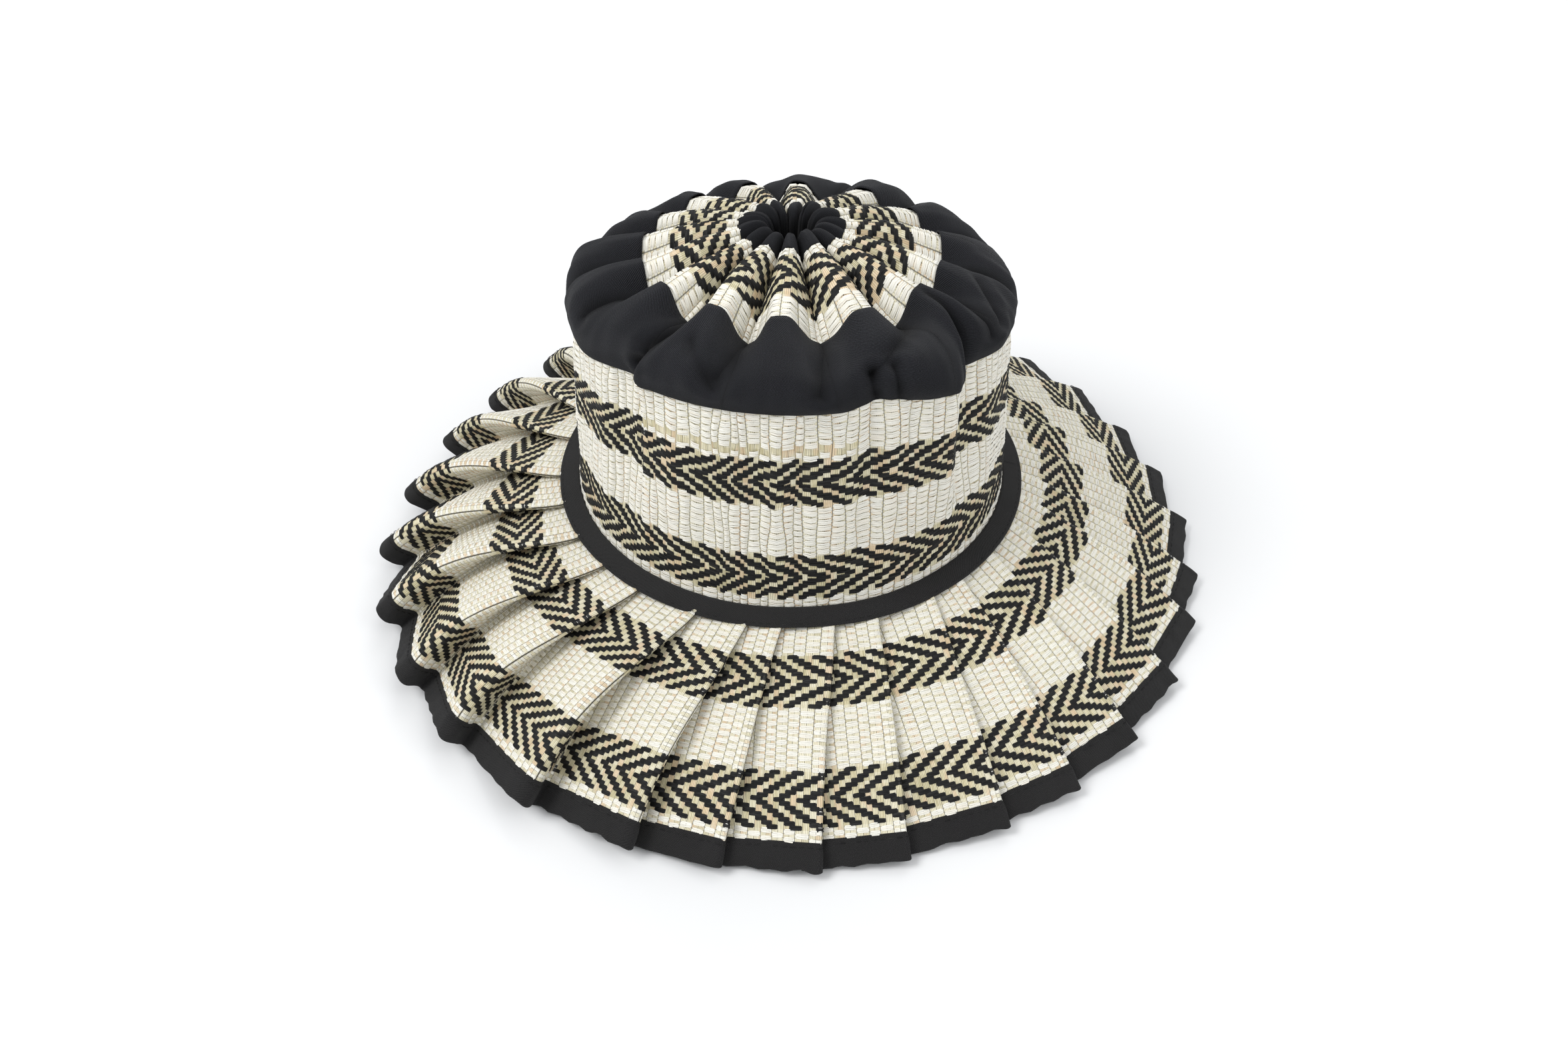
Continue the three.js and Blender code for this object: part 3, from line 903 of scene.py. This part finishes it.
def float_pieces(names, place, floats, styles, outwards):
    """The white and the black floats of one mat, as two pieces."""
    pieces = []
    for name, some, style, material in zip(names, floats, styles, (WHITE_THREAD, BLACK_THREAD)):
        points, quads, grain = float_ribbons(place, *some, style)
        quads = quads[:, ::-1] if outwards else quads
        piece = make_piece(name, points, quads, {"grain": grain}, material)
        pieces.append(piece)
    return pieces


# Materials


def rgba(colour):
    """A colour as Blender takes it, from three values, or from one value for a grey."""
    return (*colour, 1.0) if isinstance(colour, tuple) else (colour, colour, colour, 1.0)


class Signal:
    """A number, vector or colour that flows between a material's nodes, with plain arithmetic."""

    def __init__(self, nodes, socket):
        self.nodes = nodes
        self.socket = socket

    def __add__(self, other):
        return self.nodes.math("ADD", self, other)

    def __sub__(self, other):
        return self.nodes.math("SUBTRACT", self, other)

    def __rsub__(self, other):
        return self.nodes.math("SUBTRACT", other, self)

    def __mul__(self, other):
        return self.nodes.math("MULTIPLY", self, other)


class Nodes:
    """Short calls for building one material's node tree."""

    def __init__(self, name):
        self.material = bpy.data.materials.new(name)
        self.material.use_nodes = True
        self.tree = self.material.node_tree
        self.shader = self.tree.nodes["Principled BSDF"]

    def link(self, value, socket):
        if isinstance(value, Signal):
            self.tree.links.new(value.socket, socket)
        else:
            socket.default_value = value

    def new(self, kind, inputs, output=0, **settings):
        """One output of a new node, whose inputs are given by name or number."""
        node = self.tree.nodes.new(kind)
        for key, value in settings.items():
            setattr(node, key, value)
        for key, value in inputs.items():
            self.link(value, node.inputs[key])
        return Signal(self, node.outputs[output])

    def math(self, operation, *values):
        return self.new("ShaderNodeMath", dict(enumerate(values)), operation=operation)

    def attribute(self, name):
        """The three numbers of a mesh field."""
        field = self.new("ShaderNodeAttribute", {}, "Vector", attribute_name=name)
        split = self.tree.nodes.new("ShaderNodeSeparateXYZ")
        self.link(field, split.inputs[0])
        return [Signal(self, socket) for socket in split.outputs]

    def vector(self, *values):
        return self.new("ShaderNodeCombineXYZ", dict(enumerate(values)))

    def noise(self, vector, scale, detail=2.0, roughness=0.5):
        inputs = {"Vector": vector, "Scale": scale, "Detail": detail, "Roughness": roughness}
        return self.new("ShaderNodeTexNoise", inputs)

    def random(self, *values):
        """A random number for every set of three values."""
        inputs = {"Vector": self.vector(*values)}
        return self.new("ShaderNodeTexWhiteNoise", inputs, "Value", noise_dimensions="3D")

    def ramp(self, value, *stops):
        """Colour or grey by a value, between two stops of a position and a colour each."""
        node = self.tree.nodes.new("ShaderNodeValToRGB")
        for element, (position, colour) in zip(node.color_ramp.elements, stops):
            element.position = position
            element.color = rgba(colour)
        self.link(value, node.inputs[0])
        return Signal(self, node.outputs[0])

    def blend(self, share, a, b):
        """Colour a where the share is 0, turning into colour b where it is 1."""
        a, b = (rgba(colour) if isinstance(colour, tuple) else colour for colour in (a, b))
        return self.new("ShaderNodeMix", {"Factor": share, 6: a, 7: b}, 2, data_type="RGBA")

    def between(self, value, low, high):
        return self.math("GREATER_THAN", value, low) * self.math("LESS_THAN", value, high)

    def bump(self, height, strength, distance):
        inputs = {"Height": height, "Strength": strength, "Distance": distance}
        self.link(self.new("ShaderNodeBump", inputs), self.shader.inputs["Normal"])

    def finish(self, colour, roughness, **sockets):
        self.link(colour, self.shader.inputs["Base Color"])
        self.link(roughness, self.shader.inputs["Roughness"])
        for name, value in sockets.items():
            self.shader.inputs[name.replace("_", " ")].default_value = value
        return self.material


WHITE_LIGHT = (0.87, 0.86, 0.80)
WHITE_DEEP = (0.62, 0.59, 0.49)
WHITE_TINT = (0.80, 0.68, 0.52)
TAN_LIGHT = (0.74, 0.665, 0.43)
TAN_DEEP = (0.43, 0.38, 0.21)
TAN_PALE = (0.78, 0.735, 0.57)
PEACH = (0.70, 0.47, 0.29)
BLACK_LIGHT = (0.0135, 0.0135, 0.0135)
BLACK_DEEP = (0.003, 0.003, 0.003)
BLACK_TINT = (0.06, 0.06, 0.057)
# Painted shade in the gaps between straws, threads and bundles, and along the brim's crests
PAINTED_GAP_SHADE = (0.045, 0.038, 0.024)
CLOTH_DEEP = (0.002, 0.002, 0.0022)
# Colour of the painted shade in the cloth's folds, valleys and mouth
CLOTH_SHADED = (0.001, 0.001, 0.0012)

STRAWS_PER_BUNDLE = 4.0
RIB_PITCH = 0.62
RIB_SLANT = 1.25


def mat_material():
    """The whole weave drawn on a mat's sheet, with painted shade in its gaps, for the places that no
    raised float covers.
    """
    n = Nodes("straw_mat")
    bundle, pick, side = n.attribute("weave")
    number = n.math("FLOOR", bundle)
    row = n.math("FLOOR", pick)
    in_bundle = n.math("FRACT", bundle)
    bands = [n.between(pick, start, end) for start, end in HERRINGBONES]
    band = bands[0] + bands[1]
    bare = n.between(pick, WALL_BARE_PICKS[0] - 1, WALL_BARE_PICKS[1] + 2)
    bare = bare * n.between(bundle, *WALL_BARE_BUNDLES)

    # Where the weft lies over the straw
    shifts = []
    for inside, (start, end) in zip(bands, HERRINGBONES):
        shifts.append(n.math("ABSOLUTE", row - (start + end - 1) / 2) * inside)
    shift = shifts[0] - shifts[1]
    twill = n.math("FLOORED_MODULO", number + shift, TWILL_REPEAT)
    black_up = n.math("LESS_THAN", twill, FLOAT_BUNDLES - 0.5)
    pair = n.math("FLOOR", number * 0.5)
    plain = n.math("FLOORED_MODULO", pair + row, 2.0)
    white_up = n.math("LESS_THAN", plain, 0.5)
    weft_up = (band * black_up + (1.0 - band) * white_up) * (1.0 - bare)
    weft_up = n.math("ABSOLUTE", weft_up - side)

    # Tan straw, uneven from bundle to bundle, straw to straw and block to block
    bundle_hash = n.random(number, 3.0, 0.0)
    straw = in_bundle * STRAWS_PER_BUNDLE
    straw_hash = n.random(n.math("FLOOR", straw), number, 7.0)
    fibre = n.noise(n.vector(bundle * 9.0, pick * 0.35, bundle_hash), 1.0, 3.0)
    tan = n.ramp(fibre, (0.3, TAN_DEEP), (0.7, TAN_LIGHT))
    tan = n.blend(straw_hash * 0.5, tan, TAN_PALE)
    tan = n.blend((1.0 - (band + bare)) * 0.65, tan, TAN_PALE)
    block_hash = n.random(number, n.math("FLOOR", (row + shift) * 0.5), 9.0)
    tan = n.blend(n.ramp(block_hash, (0.0, 0.5), (0.3, 0.0)), tan, TAN_DEEP)
    tan = n.blend(n.ramp(block_hash, (0.6, 0.0), (1.0, 0.7)), tan, TAN_PALE)
    patch = n.noise(n.vector(bundle * 0.6, pick * 0.1, 5.0), 1.0, 1.0)
    tan = n.blend(n.ramp(bundle_hash * 0.4 + patch, (0.78, 0.0), (0.9, 0.5)), tan, PEACH)
    round_straw = n.math("ABSOLUTE", n.math("SINE", straw * math.pi))
    # Painted shade between the straws of a bundle
    tan = n.blend(n.ramp(round_straw, (0.08, 0.6), (0.4, 0.0)), tan, PAINTED_GAP_SHADE)

    # Weft threads, and what shows between them: painted shade, or in the bands now and then white
    round_thread = n.math("SINE", n.math("FRACT", pick) * math.pi)
    thread_fibre = n.noise(n.vector(bundle * 0.8, pick * 9.0, row), 1.0, 3.0)
    white = n.ramp(thread_fibre, (0.3, WHITE_DEEP), (0.65, WHITE_LIGHT))
    black = n.ramp(thread_fibre, (0.3, BLACK_DEEP), (0.7, BLACK_LIGHT))
    glint = n.math("GREATER_THAN", n.random(row, pair, 4.0), 0.7) * band
    gap = n.blend(glint, PAINTED_GAP_SHADE, WHITE_LIGHT)
    weft = n.blend(band, white, black)
    weft = n.blend(n.ramp(round_thread, (0.15, 0.85), (0.4, 0.0)), weft, gap)
    colour = n.blend(weft_up, tan, weft)

    # Painted shade as dark lines between bundles, between pairs of bundles, and along the brim's
    # crests
    edge = n.math("PINGPONG", in_bundle, 0.5)
    colour = n.blend(n.ramp(edge, (0.03, 0.5), (0.09, 0.0)), colour, PAINTED_GAP_SHADE)
    pair_edge = n.math("PINGPONG", n.math("FRACT", bundle * 0.5), 0.5)
    groove = n.ramp(pair_edge, (0.015, 0.4), (0.045, 0.0))
    colour = n.blend(groove * (1.0 - band), colour, PAINTED_GAP_SHADE)
    from_crest = n.math("FLOORED_MODULO", bundle, PLEAT_BUNDLES) - CREST_BUNDLE % PLEAT_BUNDLES
    crest = n.ramp(n.math("ABSOLUTE", from_crest), (0.08, 0.9), (0.16, 0.0))
    on_brim = n.math("GREATER_THAN", bundle, BRIM_FIRST_BUNDLE - 1.0)
    colour = n.blend(crest * ((1.0 - band * 0.7) * on_brim), colour, PAINTED_GAP_SHADE)

    straw_height = (1.0 - weft_up) * round_straw
    thread_height = weft_up * (round_thread * 0.8 + 0.4)
    n.bump(straw_height * 0.5 + thread_height, 0.6, 0.0003)
    return n.finish(colour, n.ramp(fibre, (0.2, 0.75), (0.8, 0.5)))


def thread_material(name, deep, light, tint, tint_share, **sockets):
    """One raised weft thread: long flat fibres, each float a little different."""
    n = Nodes(name)
    along, across, seed = n.attribute("grain")
    fibre = n.noise(n.vector(along * 0.35, across * 5.0, seed * 60.0), 1.0, 3.0, 0.6)
    colour = n.ramp(fibre, (0.25, deep), (0.62, light))
    tinted = n.math("POWER", n.random(seed, 1.0, 2.0), 3.0) * tint_share
    colour = n.blend(tinted, colour, tint)
    n.bump(fibre, 0.5, 0.0002)
    return n.finish(colour, n.ramp(fibre, (0.2, 0.7), (0.8, 0.5)), **sockets)


def twill_material(name, ribs, dust):
    """Black cotton twill: fine diagonal ribs, dusty highlights, a soft sheen, and painted shade from
    the third value of its cloth field.
    """
    n = Nodes(name)
    along, across, shade = n.attribute("cloth")
    wobble = n.noise(n.vector(along, across, 0.0), 0.9)
    rib = along + across * RIB_SLANT + wobble * 0.35
    wave = n.math("SINE", rib * (2 * math.pi / RIB_PITCH))
    yarn = n.noise(n.vector(along * 3.5, across * 3.5, 1.0), 1.0, 3.0)
    colour = n.ramp(wave * 0.3 + yarn, (0.2, CLOTH_DEEP), (0.9, ribs))
    worn = n.noise(n.vector(along, across, 2.0), 0.06, 3.0)
    colour = n.blend(worn * 0.25, colour, dust)
    # Painted shade: darker colour where shade falls in folds, valleys and the mouth
    colour = n.blend(shade * 0.9, colour, CLOTH_SHADED)
    n.bump(wave * 0.5 + yarn * 0.4, 0.8, 0.00022)
    return n.finish(
        colour, n.ramp(yarn, (0.2, 0.9), (0.8, 0.7)),
        Specular_IOR_Level=0.12, Sheen_Weight=0.045, Sheen_Roughness=0.4)


STRAW_MAT = mat_material()
WHITE_THREAD = thread_material("white_weft", WHITE_DEEP, WHITE_LIGHT, WHITE_TINT, 0.35)
BLACK_THREAD = thread_material(
    "black_weft", BLACK_DEEP, BLACK_LIGHT, BLACK_TINT, 0.25, Specular_IOR_Level=0.16)
TWILL = twill_material("black_twill_cloth", (0.027, 0.028, 0.033), (0.034, 0.035, 0.041))
TAPE = twill_material("black_twill_tape", (0.041, 0.040, 0.040), (0.05, 0.049, 0.049))


# Sheets of mat


def mat_sheet(name, place, bundle, pick, outwards):
    """A mat closed round the axis, as a thin sheet with its weave coordinates on both sides. Its
    place is the points and normals of its middle surface."""
    points, normals = place
    sides = [three_values(bundle.shape, bundle, pick, side) for side in (0.0, 1.0)]
    half = normals * MAT_THICKNESS / 2
    piece = closed_sheet(name, points + half, points - half, {"weave": sides}, STRAW_MAT, outwards)
    return piece


def woven_sheet(name, weave_place, bundle_count, picks, outwards):
    """A mat whose columns stand half a bundle apart, from its place at weave coordinates."""
    bundle, pick = np.meshgrid(np.arange(0, bundle_count, 0.5), picks, indexing="ij")
    return mat_sheet(name, weave_place(bundle, pick), bundle, pick, outwards)


# Brim

# Columns of the brim's grids: distances from a crest round its fold, and shares of the valleys'
# arcs and of the straight stretches. The fold is the third of a pleat's five stretches
FOLD_COLUMNS = np.array([0.35, 0.7, 1.05, 1.4, 1.8, 2.25, 3.1, 3.9])
ARC_SHARES = np.array([0, 1 / 3, 2 / 3, 1])
STRAIGHT_SHARES = (0.25, 0.5, 0.75)
FOLD_STRETCH = 2
COLUMN_SPACING = 0.5
STRAIGHT_MARGIN = 0.8
COLUMN_SAMPLES = 25
BRIM_ROWS = 19
EDGE_HIDDEN = 1.0

# How far from a crest floats are made on its face, past the next crest, and on its underlay:
# the length where folds lie flat, and what is added where they stand. Floats end short of the
# valleys, start where the band no longer hides them, and run a little under the binding
FACE_SHOWN = (5, 14)
UNDERLAY_SHOWN = (3.5, 16)
VALLEY_MARGIN = 1.5
BAND_HIDES = 4.2
BINDING_OVERLAP = 0.4

STRIP_STARTS = STRIP_PER_DEGREE * (VALLEY_AZIMUTHS - FIRST_VALLEY)
BINDING_START = STRIP_WIDTH - BINDING_WIDTH


def brim_columns():
    """Every column of the brim's grids: its pleat, the stretch of the pleat that it stands in, its
    place there, and how far either way from the crest the stretch of the fold reaches. A place
    is a share of its stretch, except round the fold, where it is a distance from the crest."""
    samples = np.linspace(0, STRIP_WIDTH, COLUMN_SAMPLES)
    columns = []
    for p in range(PANEL_COUNT):
        ends, _, _ = pleat_lengths(np.full(len(samples), p), samples)
        crest = (ends[1] + ends[2]) / 2
        before = float(np.min(crest - ends[0])) - STRAIGHT_MARGIN
        after = float(np.min(ends[3] - crest)) - STRAIGHT_MARGIN
        nearest = FOLD_COLUMNS[-1] + COLUMN_SPACING
        fold = [d for d in FACE_EDGES[p][::-1] if nearest < d < before]
        fold += [*FOLD_COLUMNS[::-1], 0.0]
        fold += [-d for d in FOLD_COLUMNS if d < after]
        fold += [-d for d in UNDERLAY_EDGES[p] if nearest < d < after]
        stretches = (ARC_SHARES, STRAIGHT_SHARES, fold, STRAIGHT_SHARES, ARC_SHARES[:-1])
        for stretch, places in enumerate(stretches):
            columns += [(p, stretch, place, before, after) for place in places]
    return columns


COLUMNS = brim_columns()


def brim_grid(across):
    """Pleat, length along the strip, distance across it and distance from the crest, for every
    column of the brim's grids at each of the given distances across."""
    pleats = np.array([column[0] for column in COLUMNS])
    pleat, across = np.meshgrid(pleats, across, indexing="ij")
    ends, _, _ = pleat_lengths(pleat, across)
    crest = (ends[1] + ends[2]) / 2
    along = np.zeros(pleat.shape)
    for i, (p, stretch, place, before, after) in enumerate(COLUMNS):
        top = crest[i]
        stations = (0, ends[0][i], top - before, top + after, ends[3][i], PANEL_STRIPS[p])
        if stretch == FOLD_STRETCH:
            along[i] = top - place
        else:
            along[i] = mix(stations[stretch], stations[stretch + 1], place)
    return pleat, along, across, crest - along


def make_brim_mat():
    pleat, along, across, distance = brim_grid(np.linspace(0, STRIP_WIDTH - EDGE_HIDDEN, BRIM_ROWS))
    bundle = bundle_of_distance(pleat, distance)
    pick = BRIM_FIRST_PICK + across / PICK_PITCH
    piece = mat_sheet("brim_straw", brim_place(pleat, along, across), bundle, pick, True)
    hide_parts("brim_mat")
    return piece


def shown_brim_floats(floats):
    """Keeps the floats that show: those not covered by the next fold, the band or the binding."""
    bundle, pick = floats
    pleat, distance = distance_of_bundle(bundle + 1.0)
    across = (pick + 0.5 - BRIM_FIRST_PICK) * PICK_PITCH
    _, radius, _ = brim_profile(across)
    standing = standing_share(VALLEY_AZIMUTHS[pleat] + PANEL_DEGREES[pleat])
    face = np.radians(PANEL_DEGREES[pleat]) * radius + FACE_SHOWN[0] + FACE_SHOWN[1] * standing
    underlay = UNDERLAY_SHOWN[0] + UNDERLAY_SHOWN[1] * standing
    crest = crest_length(pleat, across)
    shown = distance < np.minimum(face, crest - VALLEY_MARGIN)
    shown &= -distance < np.minimum(underlay, PANEL_STRIPS[pleat] - crest - VALLEY_MARGIN)
    shown &= (across > BAND_HIDES) & (across < BINDING_START + BINDING_OVERLAP)
    return bundle[shown], pick[shown]


def brim_bundles():
    """Bundle numbers at which the floats of every pleat may start."""
    local = np.arange(CREST_BUNDLE - FACE_BUNDLES + 2, CREST_BUNDLE + UNDERLAY_BUNDLES - 2)
    return (np.arange(PANEL_COUNT)[:, None] * PLEAT_BUNDLES + local[None, :]).ravel()


BINDING_PUCKER = Ripple(0.16, (90, 250), 12)
BINDING_EDGE = Ripple(0.3, (60, 190), 10)


def binding_loop():
    """Distance across the strip, and height off its middle surface, of the binding's rows. They
    run over the upper side with its dent of stitches, round the edge and back underneath."""
    inside = MAT_THICKNESS / 2 + CLOTH_CLEARANCE
    outside = inside + CLOTH_THICKNESS
    straight = BINDING_WIDTH - BINDING_TURN
    over = np.linspace(0, 1, BINDING_TOP_ROWS)
    under = over[:0:-2]
    dent = np.exp(-(((over * BINDING_WIDTH - BINDING_STITCH_INSET) / STITCH_DENT_WIDTH) ** 2))
    angle = math.pi * np.arange(1, BINDING_EDGE_ROWS) / BINDING_EDGE_ROWS
    across = np.concatenate([
        BINDING_START + over * straight,
        STRIP_WIDTH - BINDING_TURN + outside * BINDING_ROUNDNESS * np.sin(angle),
        BINDING_START + under * straight,
    ])
    height = np.concatenate([
        np.where(over > 0, outside, inside) - STITCH_DENT_DEPTH * dent,
        outside * np.cos(angle),
        np.full(len(under), -outside),
    ])
    return np.minimum(across, STRIP_WIDTH + BINDING_REACH), height


def make_binding():
    loop_across, loop_height = binding_loop()
    pleat, along, across, _ = brim_grid(loop_across)
    cloth_along = STRIP_STARTS[pleat] + along
    azimuth = cloth_along / STRIP_PER_DEGREE
    outer_share = np.clip((across - BINDING_START) / BINDING_WIDTH, 0, 1)
    wavy_across = across + BINDING_EDGE.at(azimuth, 0.0) * outer_share**3
    points, normals = brim_place(pleat, along, wavy_across)
    height = loop_height * (1 + BINDING_PUCKER.at(azimuth, across))
    points = points + normals * height[..., None]
    steps = np.abs(np.diff(loop_across, prepend=loop_across[0]))
    cloth = three_values(along.shape, cloth_along, np.cumsum(steps + BINDING_ROW_STEP), 0.0)
    quads = grid_quads(len(COLUMNS), len(loop_across), True)
    piece = make_piece("brim_binding_cloth", points, quads[:, ::-1], {"cloth": cloth}, TAPE)
    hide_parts("brim_binding")
    return piece


def stitch_grid(count):
    """Length along a seam, distance to its side and rise, at the points of a row of stitches."""
    start = np.reshape(np.arange(count) * STITCH_PITCH, (-1, 1, 1))
    along = np.reshape(STITCH_SHARES, (-1, 1))
    across = np.array([-1.0, 0.0, 1.0])
    rise = STITCH_RADIUS * (1.2 * np.sin(math.pi * along) - across**2)
    return np.broadcast_arrays(start + along * STITCH_LENGTH, across * STITCH_RADIUS, rise)


def stitch_piece(name, points):
    """One row of thread stitches from their grids of points."""
    seed = np.arange(len(points)) * STITCH_SEED_STEP % 1.0
    grain = np.broadcast_to(seed[:, None, None, None], points.shape)
    quads = patch_quads(*points.shape[:3])
    piece = make_piece(name, points, quads[:, ::-1], {"grain": grain}, BLACK_THREAD)
    return piece


def make_binding_stitches():
    """The row that holds the binding, through every pleat of the brim's strip."""
    length, aside, rise = stitch_grid(int(STRIP_PER_DEGREE * 360 / STITCH_PITCH))
    azimuth = FIRST_VALLEY + length / STRIP_PER_DEGREE
    pleat = np.searchsorted(VALLEY_AZIMUTHS, azimuth, side="right") - 1
    across = BINDING_START + BINDING_STITCH_INSET + aside
    points, normals = brim_place(pleat, length - STRIP_STARTS[pleat], across)
    lift = MAT_THICKNESS / 2 + CLOTH_CLEARANCE + CLOTH_THICKNESS + rise
    return stitch_piece("brim_binding_stitches", points + normals * lift[..., None])


# Band


def brim_crest_height():
    """Height of the mat's crests under the band's outer edge."""
    pleat = np.arange(PANEL_COUNT)
    across = np.full(PANEL_COUNT, BAND_SEAT_ACROSS)
    points, _ = brim_place(pleat, crest_length(pleat, across), across)
    return float(np.max(points[:, 2])) + MAT_THICKNESS / 2


BAND_SEAT_HEIGHT = brim_crest_height() + BAND_CLEARANCE


def band_point(azimuth, radius, lift):
    """A point on the band's sloping surface, at a height over its seat."""
    seat = BAND_SEAT_HEIGHT + BRIM_LIFT.at(azimuth, BAND_WAVE_ACROSS) * BAND_WAVE_SHARE
    slope = math.tan(math.radians(BRIM_INNER_SLOPE))
    return polar_point(radius, azimuth, seat + (BAND_SEAT_RADIUS - radius) * slope + lift)


def make_band_stitches():
    length, aside, rise = stitch_grid(int(2 * math.pi * BAND_STITCH_RADIUS / STITCH_PITCH))
    azimuth = np.degrees(length / BAND_STITCH_RADIUS)
    points = band_point(azimuth, BAND_STITCH_RADIUS + aside, CLOTH_THICKNESS + rise)
    return stitch_piece("hat_band_stitches", points)


def make_band():
    azimuth, radius = np.meshgrid(np.arange(0, 360, 1.0), BAND_ROWS[:, 0], indexing="ij")
    points = band_point(azimuth, radius, BAND_ROWS[:, 1])
    cloth = three_values(radius.shape, azimuth * math.radians(BAND_MIDDLE_RADIUS), radius, 0.0)
    quads = grid_quads(*radius.shape, True)[:, ::-1]
    piece = make_piece("hat_band_tape", points, quads, {"cloth": cloth}, TAPE)
    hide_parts("hat_band")
    return piece


# Crown


def wall_floats():
    """The crown wall's white and black floats, without the white ones of its bare stretch."""
    (bundle, pick), black = weave_floats(np.arange(WALL_BUNDLES), WALL_PICKS)
    bare = np.isin(pick, WALL_BARE_PICKS)
    bare &= (bundle >= WALL_BARE_BUNDLES[0]) & (bundle < WALL_BARE_BUNDLES[1])
    return (bundle[~bare], pick[~bare]), black


def cloth_sheet(name, point_of, painted_shade_of, grid, size):
    """A twill piece closed round the axis, from positions in ridges and shares across it. Its
    shade is painted shade, a darker colour where a place lies deep in a fold, a valley or the mouth."""
    columns, rows = grid
    length, width = size
    turns = np.arange(columns) / columns
    turn, share = np.meshgrid(turns, np.linspace(0, 1, rows), indexing="ij")
    position = turn * RIDGE_COUNT
    points = point_of(position, share)
    half = surface_normals(point_of, position, share, CLOTH_NORMAL_STEP, False) * CLOTH_THICKNESS / 2
    shade = np.clip(painted_shade_of(position, share), 0, 1)
    cloth = three_values(share.shape, turn * length, share * width, shade)
    piece = closed_sheet(name, points + half, points - half, {"cloth": [cloth] * 2}, TWILL, False)
    return piece


# Build

brim = make_brim_mat()
brim_floats = float_pieces(
    ("brim_white_weft", "brim_black_weft"), brim_weave_place,
    [shown_brim_floats(floats) for floats in weave_floats(brim_bundles(), BRIM_PICKS)],
    (BRIM_WHITE, BRIM_BLACK), True)
binding = make_binding()
make_binding_stitches()
band = make_band()
make_band_stitches()

wall_picks = np.linspace(wall_pick(WALL_BASE_HEIGHT), wall_pick(SEAM_HEIGHT + SEAM_COVER), WALL_ROWS)
wall = woven_sheet("crown_wall_straw", wall_weave_place, WALL_BUNDLES, wall_picks, False)
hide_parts("crown_side")
wall_threads = float_pieces(
    ("crown_white_weft", "crown_black_weft"), wall_weave_place, wall_floats(),
    (CROWN_WHITE, CROWN_BLACK), False)

disc_bundles = RIDGE_COUNT * BUNDLES_PER_RIDGE
disc_picks = np.linspace(DISC_ROWS[0][3], DISC_ROWS[-1][3], DISC_SHEET_ROWS)
disc = woven_sheet("crown_top_straw", disc_weave_place, disc_bundles, disc_picks, True)
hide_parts("crown_top_mat")
disc_threads = float_pieces(
    ("top_white_weft", "top_black_weft"), disc_weave_place,
    weave_floats(np.arange(disc_bundles), DISC_PICKS), (CROWN_WHITE, BRIM_BLACK), True)

ring_size = (RING_GIRTH, RING_WIDTH)
ring = cloth_sheet("crown_ring_cloth", ring_point, ring_painted_shade, RING_GRID, ring_size)
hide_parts("crown_ring")
centre_size = (CENTRE_GIRTH, CENTRE_WIDTH)
centre = cloth_sheet("crown_centre_cloth", centre_point, centre_painted_shade, CENTRE_GRID, centre_size)
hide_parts("crown_centre")


# Stage, light and camera. Sizes are in metres, and places in millimetres

FLOOR_REACH = 6.0
FLOOR_DARK = (0.785, 0.79, 0.795)
FLOOR_LIGHT = (0.80, 0.803, 0.807)
FLOOR_FAR = (0.98, 0.98, 0.98)

# Distance over which the floor pales, so that it meets the background without a line
FLOOR_PALES = (0.5, 3.0)

# Softboxes: name, place, size, power in watts
SOFTBOXES = [
    ("key_softbox", (-1400, -500, 1900), 1.1, 29),
    ("fill_softbox", (1600, -900, 1400), 1.5, 9),
    ("rear_softbox", (300, 1700, 1700), 1.5, 10),
]
LIT_PLACE = (0, 0, 60)
SKY_COLOUR = (0.97, 0.985, 1.0)
SKY_STRENGTH = 0.8


def floor_material():
    n = Nodes("pale_floor")
    place = n.new("ShaderNodeTexCoord", {}, "Object")
    near = n.ramp(n.noise(place, 6.0), (0.3, FLOOR_DARK), (0.7, FLOOR_LIGHT))
    distance = n.new("ShaderNodeVectorMath", {0: place}, "Value", operation="LENGTH")
    share = n.math("DIVIDE", distance, FLOOR_PALES[1])
    share = n.ramp(share, (FLOOR_PALES[0] / FLOOR_PALES[1], 0.0), (1.0, 1.0))
    return n.finish(n.blend(share, near, FLOOR_FAR), 0.9, Specular_IOR_Level=0.1)


def make_floor(size):
    mesh = bpy.data.meshes.new("floor")
    corners = [(-size, -size, 0), (size, -size, 0), (size, size, 0), (-size, size, 0)]
    mesh.from_pydata(corners, [], [(0, 1, 2, 3)])
    mesh.materials.append(floor_material())
    floor = bpy.data.objects.new("floor", mesh)
    bpy.context.collection.objects.link(floor)


def aim(thing, place, target):
    thing.location = [v * METRES_PER_MM for v in place]
    direction = Vector(target) - Vector(place)
    thing.rotation_euler = direction.to_track_quat("-Z", "Y").to_euler()


def softbox(name, place, size, power):
    light = bpy.data.lights.new(name, "AREA")
    light.shape = "DISK"
    light.size = size
    light.energy = power
    lamp = bpy.data.objects.new(name, light)
    bpy.context.collection.objects.link(lamp)
    aim(lamp, place, LIT_PLACE)


make_floor(FLOOR_REACH)
for box in SOFTBOXES:
    softbox(*box)

world = bpy.data.worlds.new("studio")
world.use_nodes = True
sky = world.node_tree.nodes["Background"]
sky.inputs["Color"].default_value = rgba(SKY_COLOUR)
sky.inputs["Strength"].default_value = SKY_STRENGTH
bpy.context.scene.world = world
bpy.context.scene.view_settings.view_transform = "Standard"

camera = bpy.data.objects.new("camera", bpy.data.cameras.new("camera"))
camera.data.lens = CAMERA_LENS
camera.data.sensor_width = CAMERA_SENSOR
bpy.context.collection.objects.link(camera)
aim(camera, CAMERA_PLACE, CAMERA_AIM)
bpy.context.scene.camera = camera
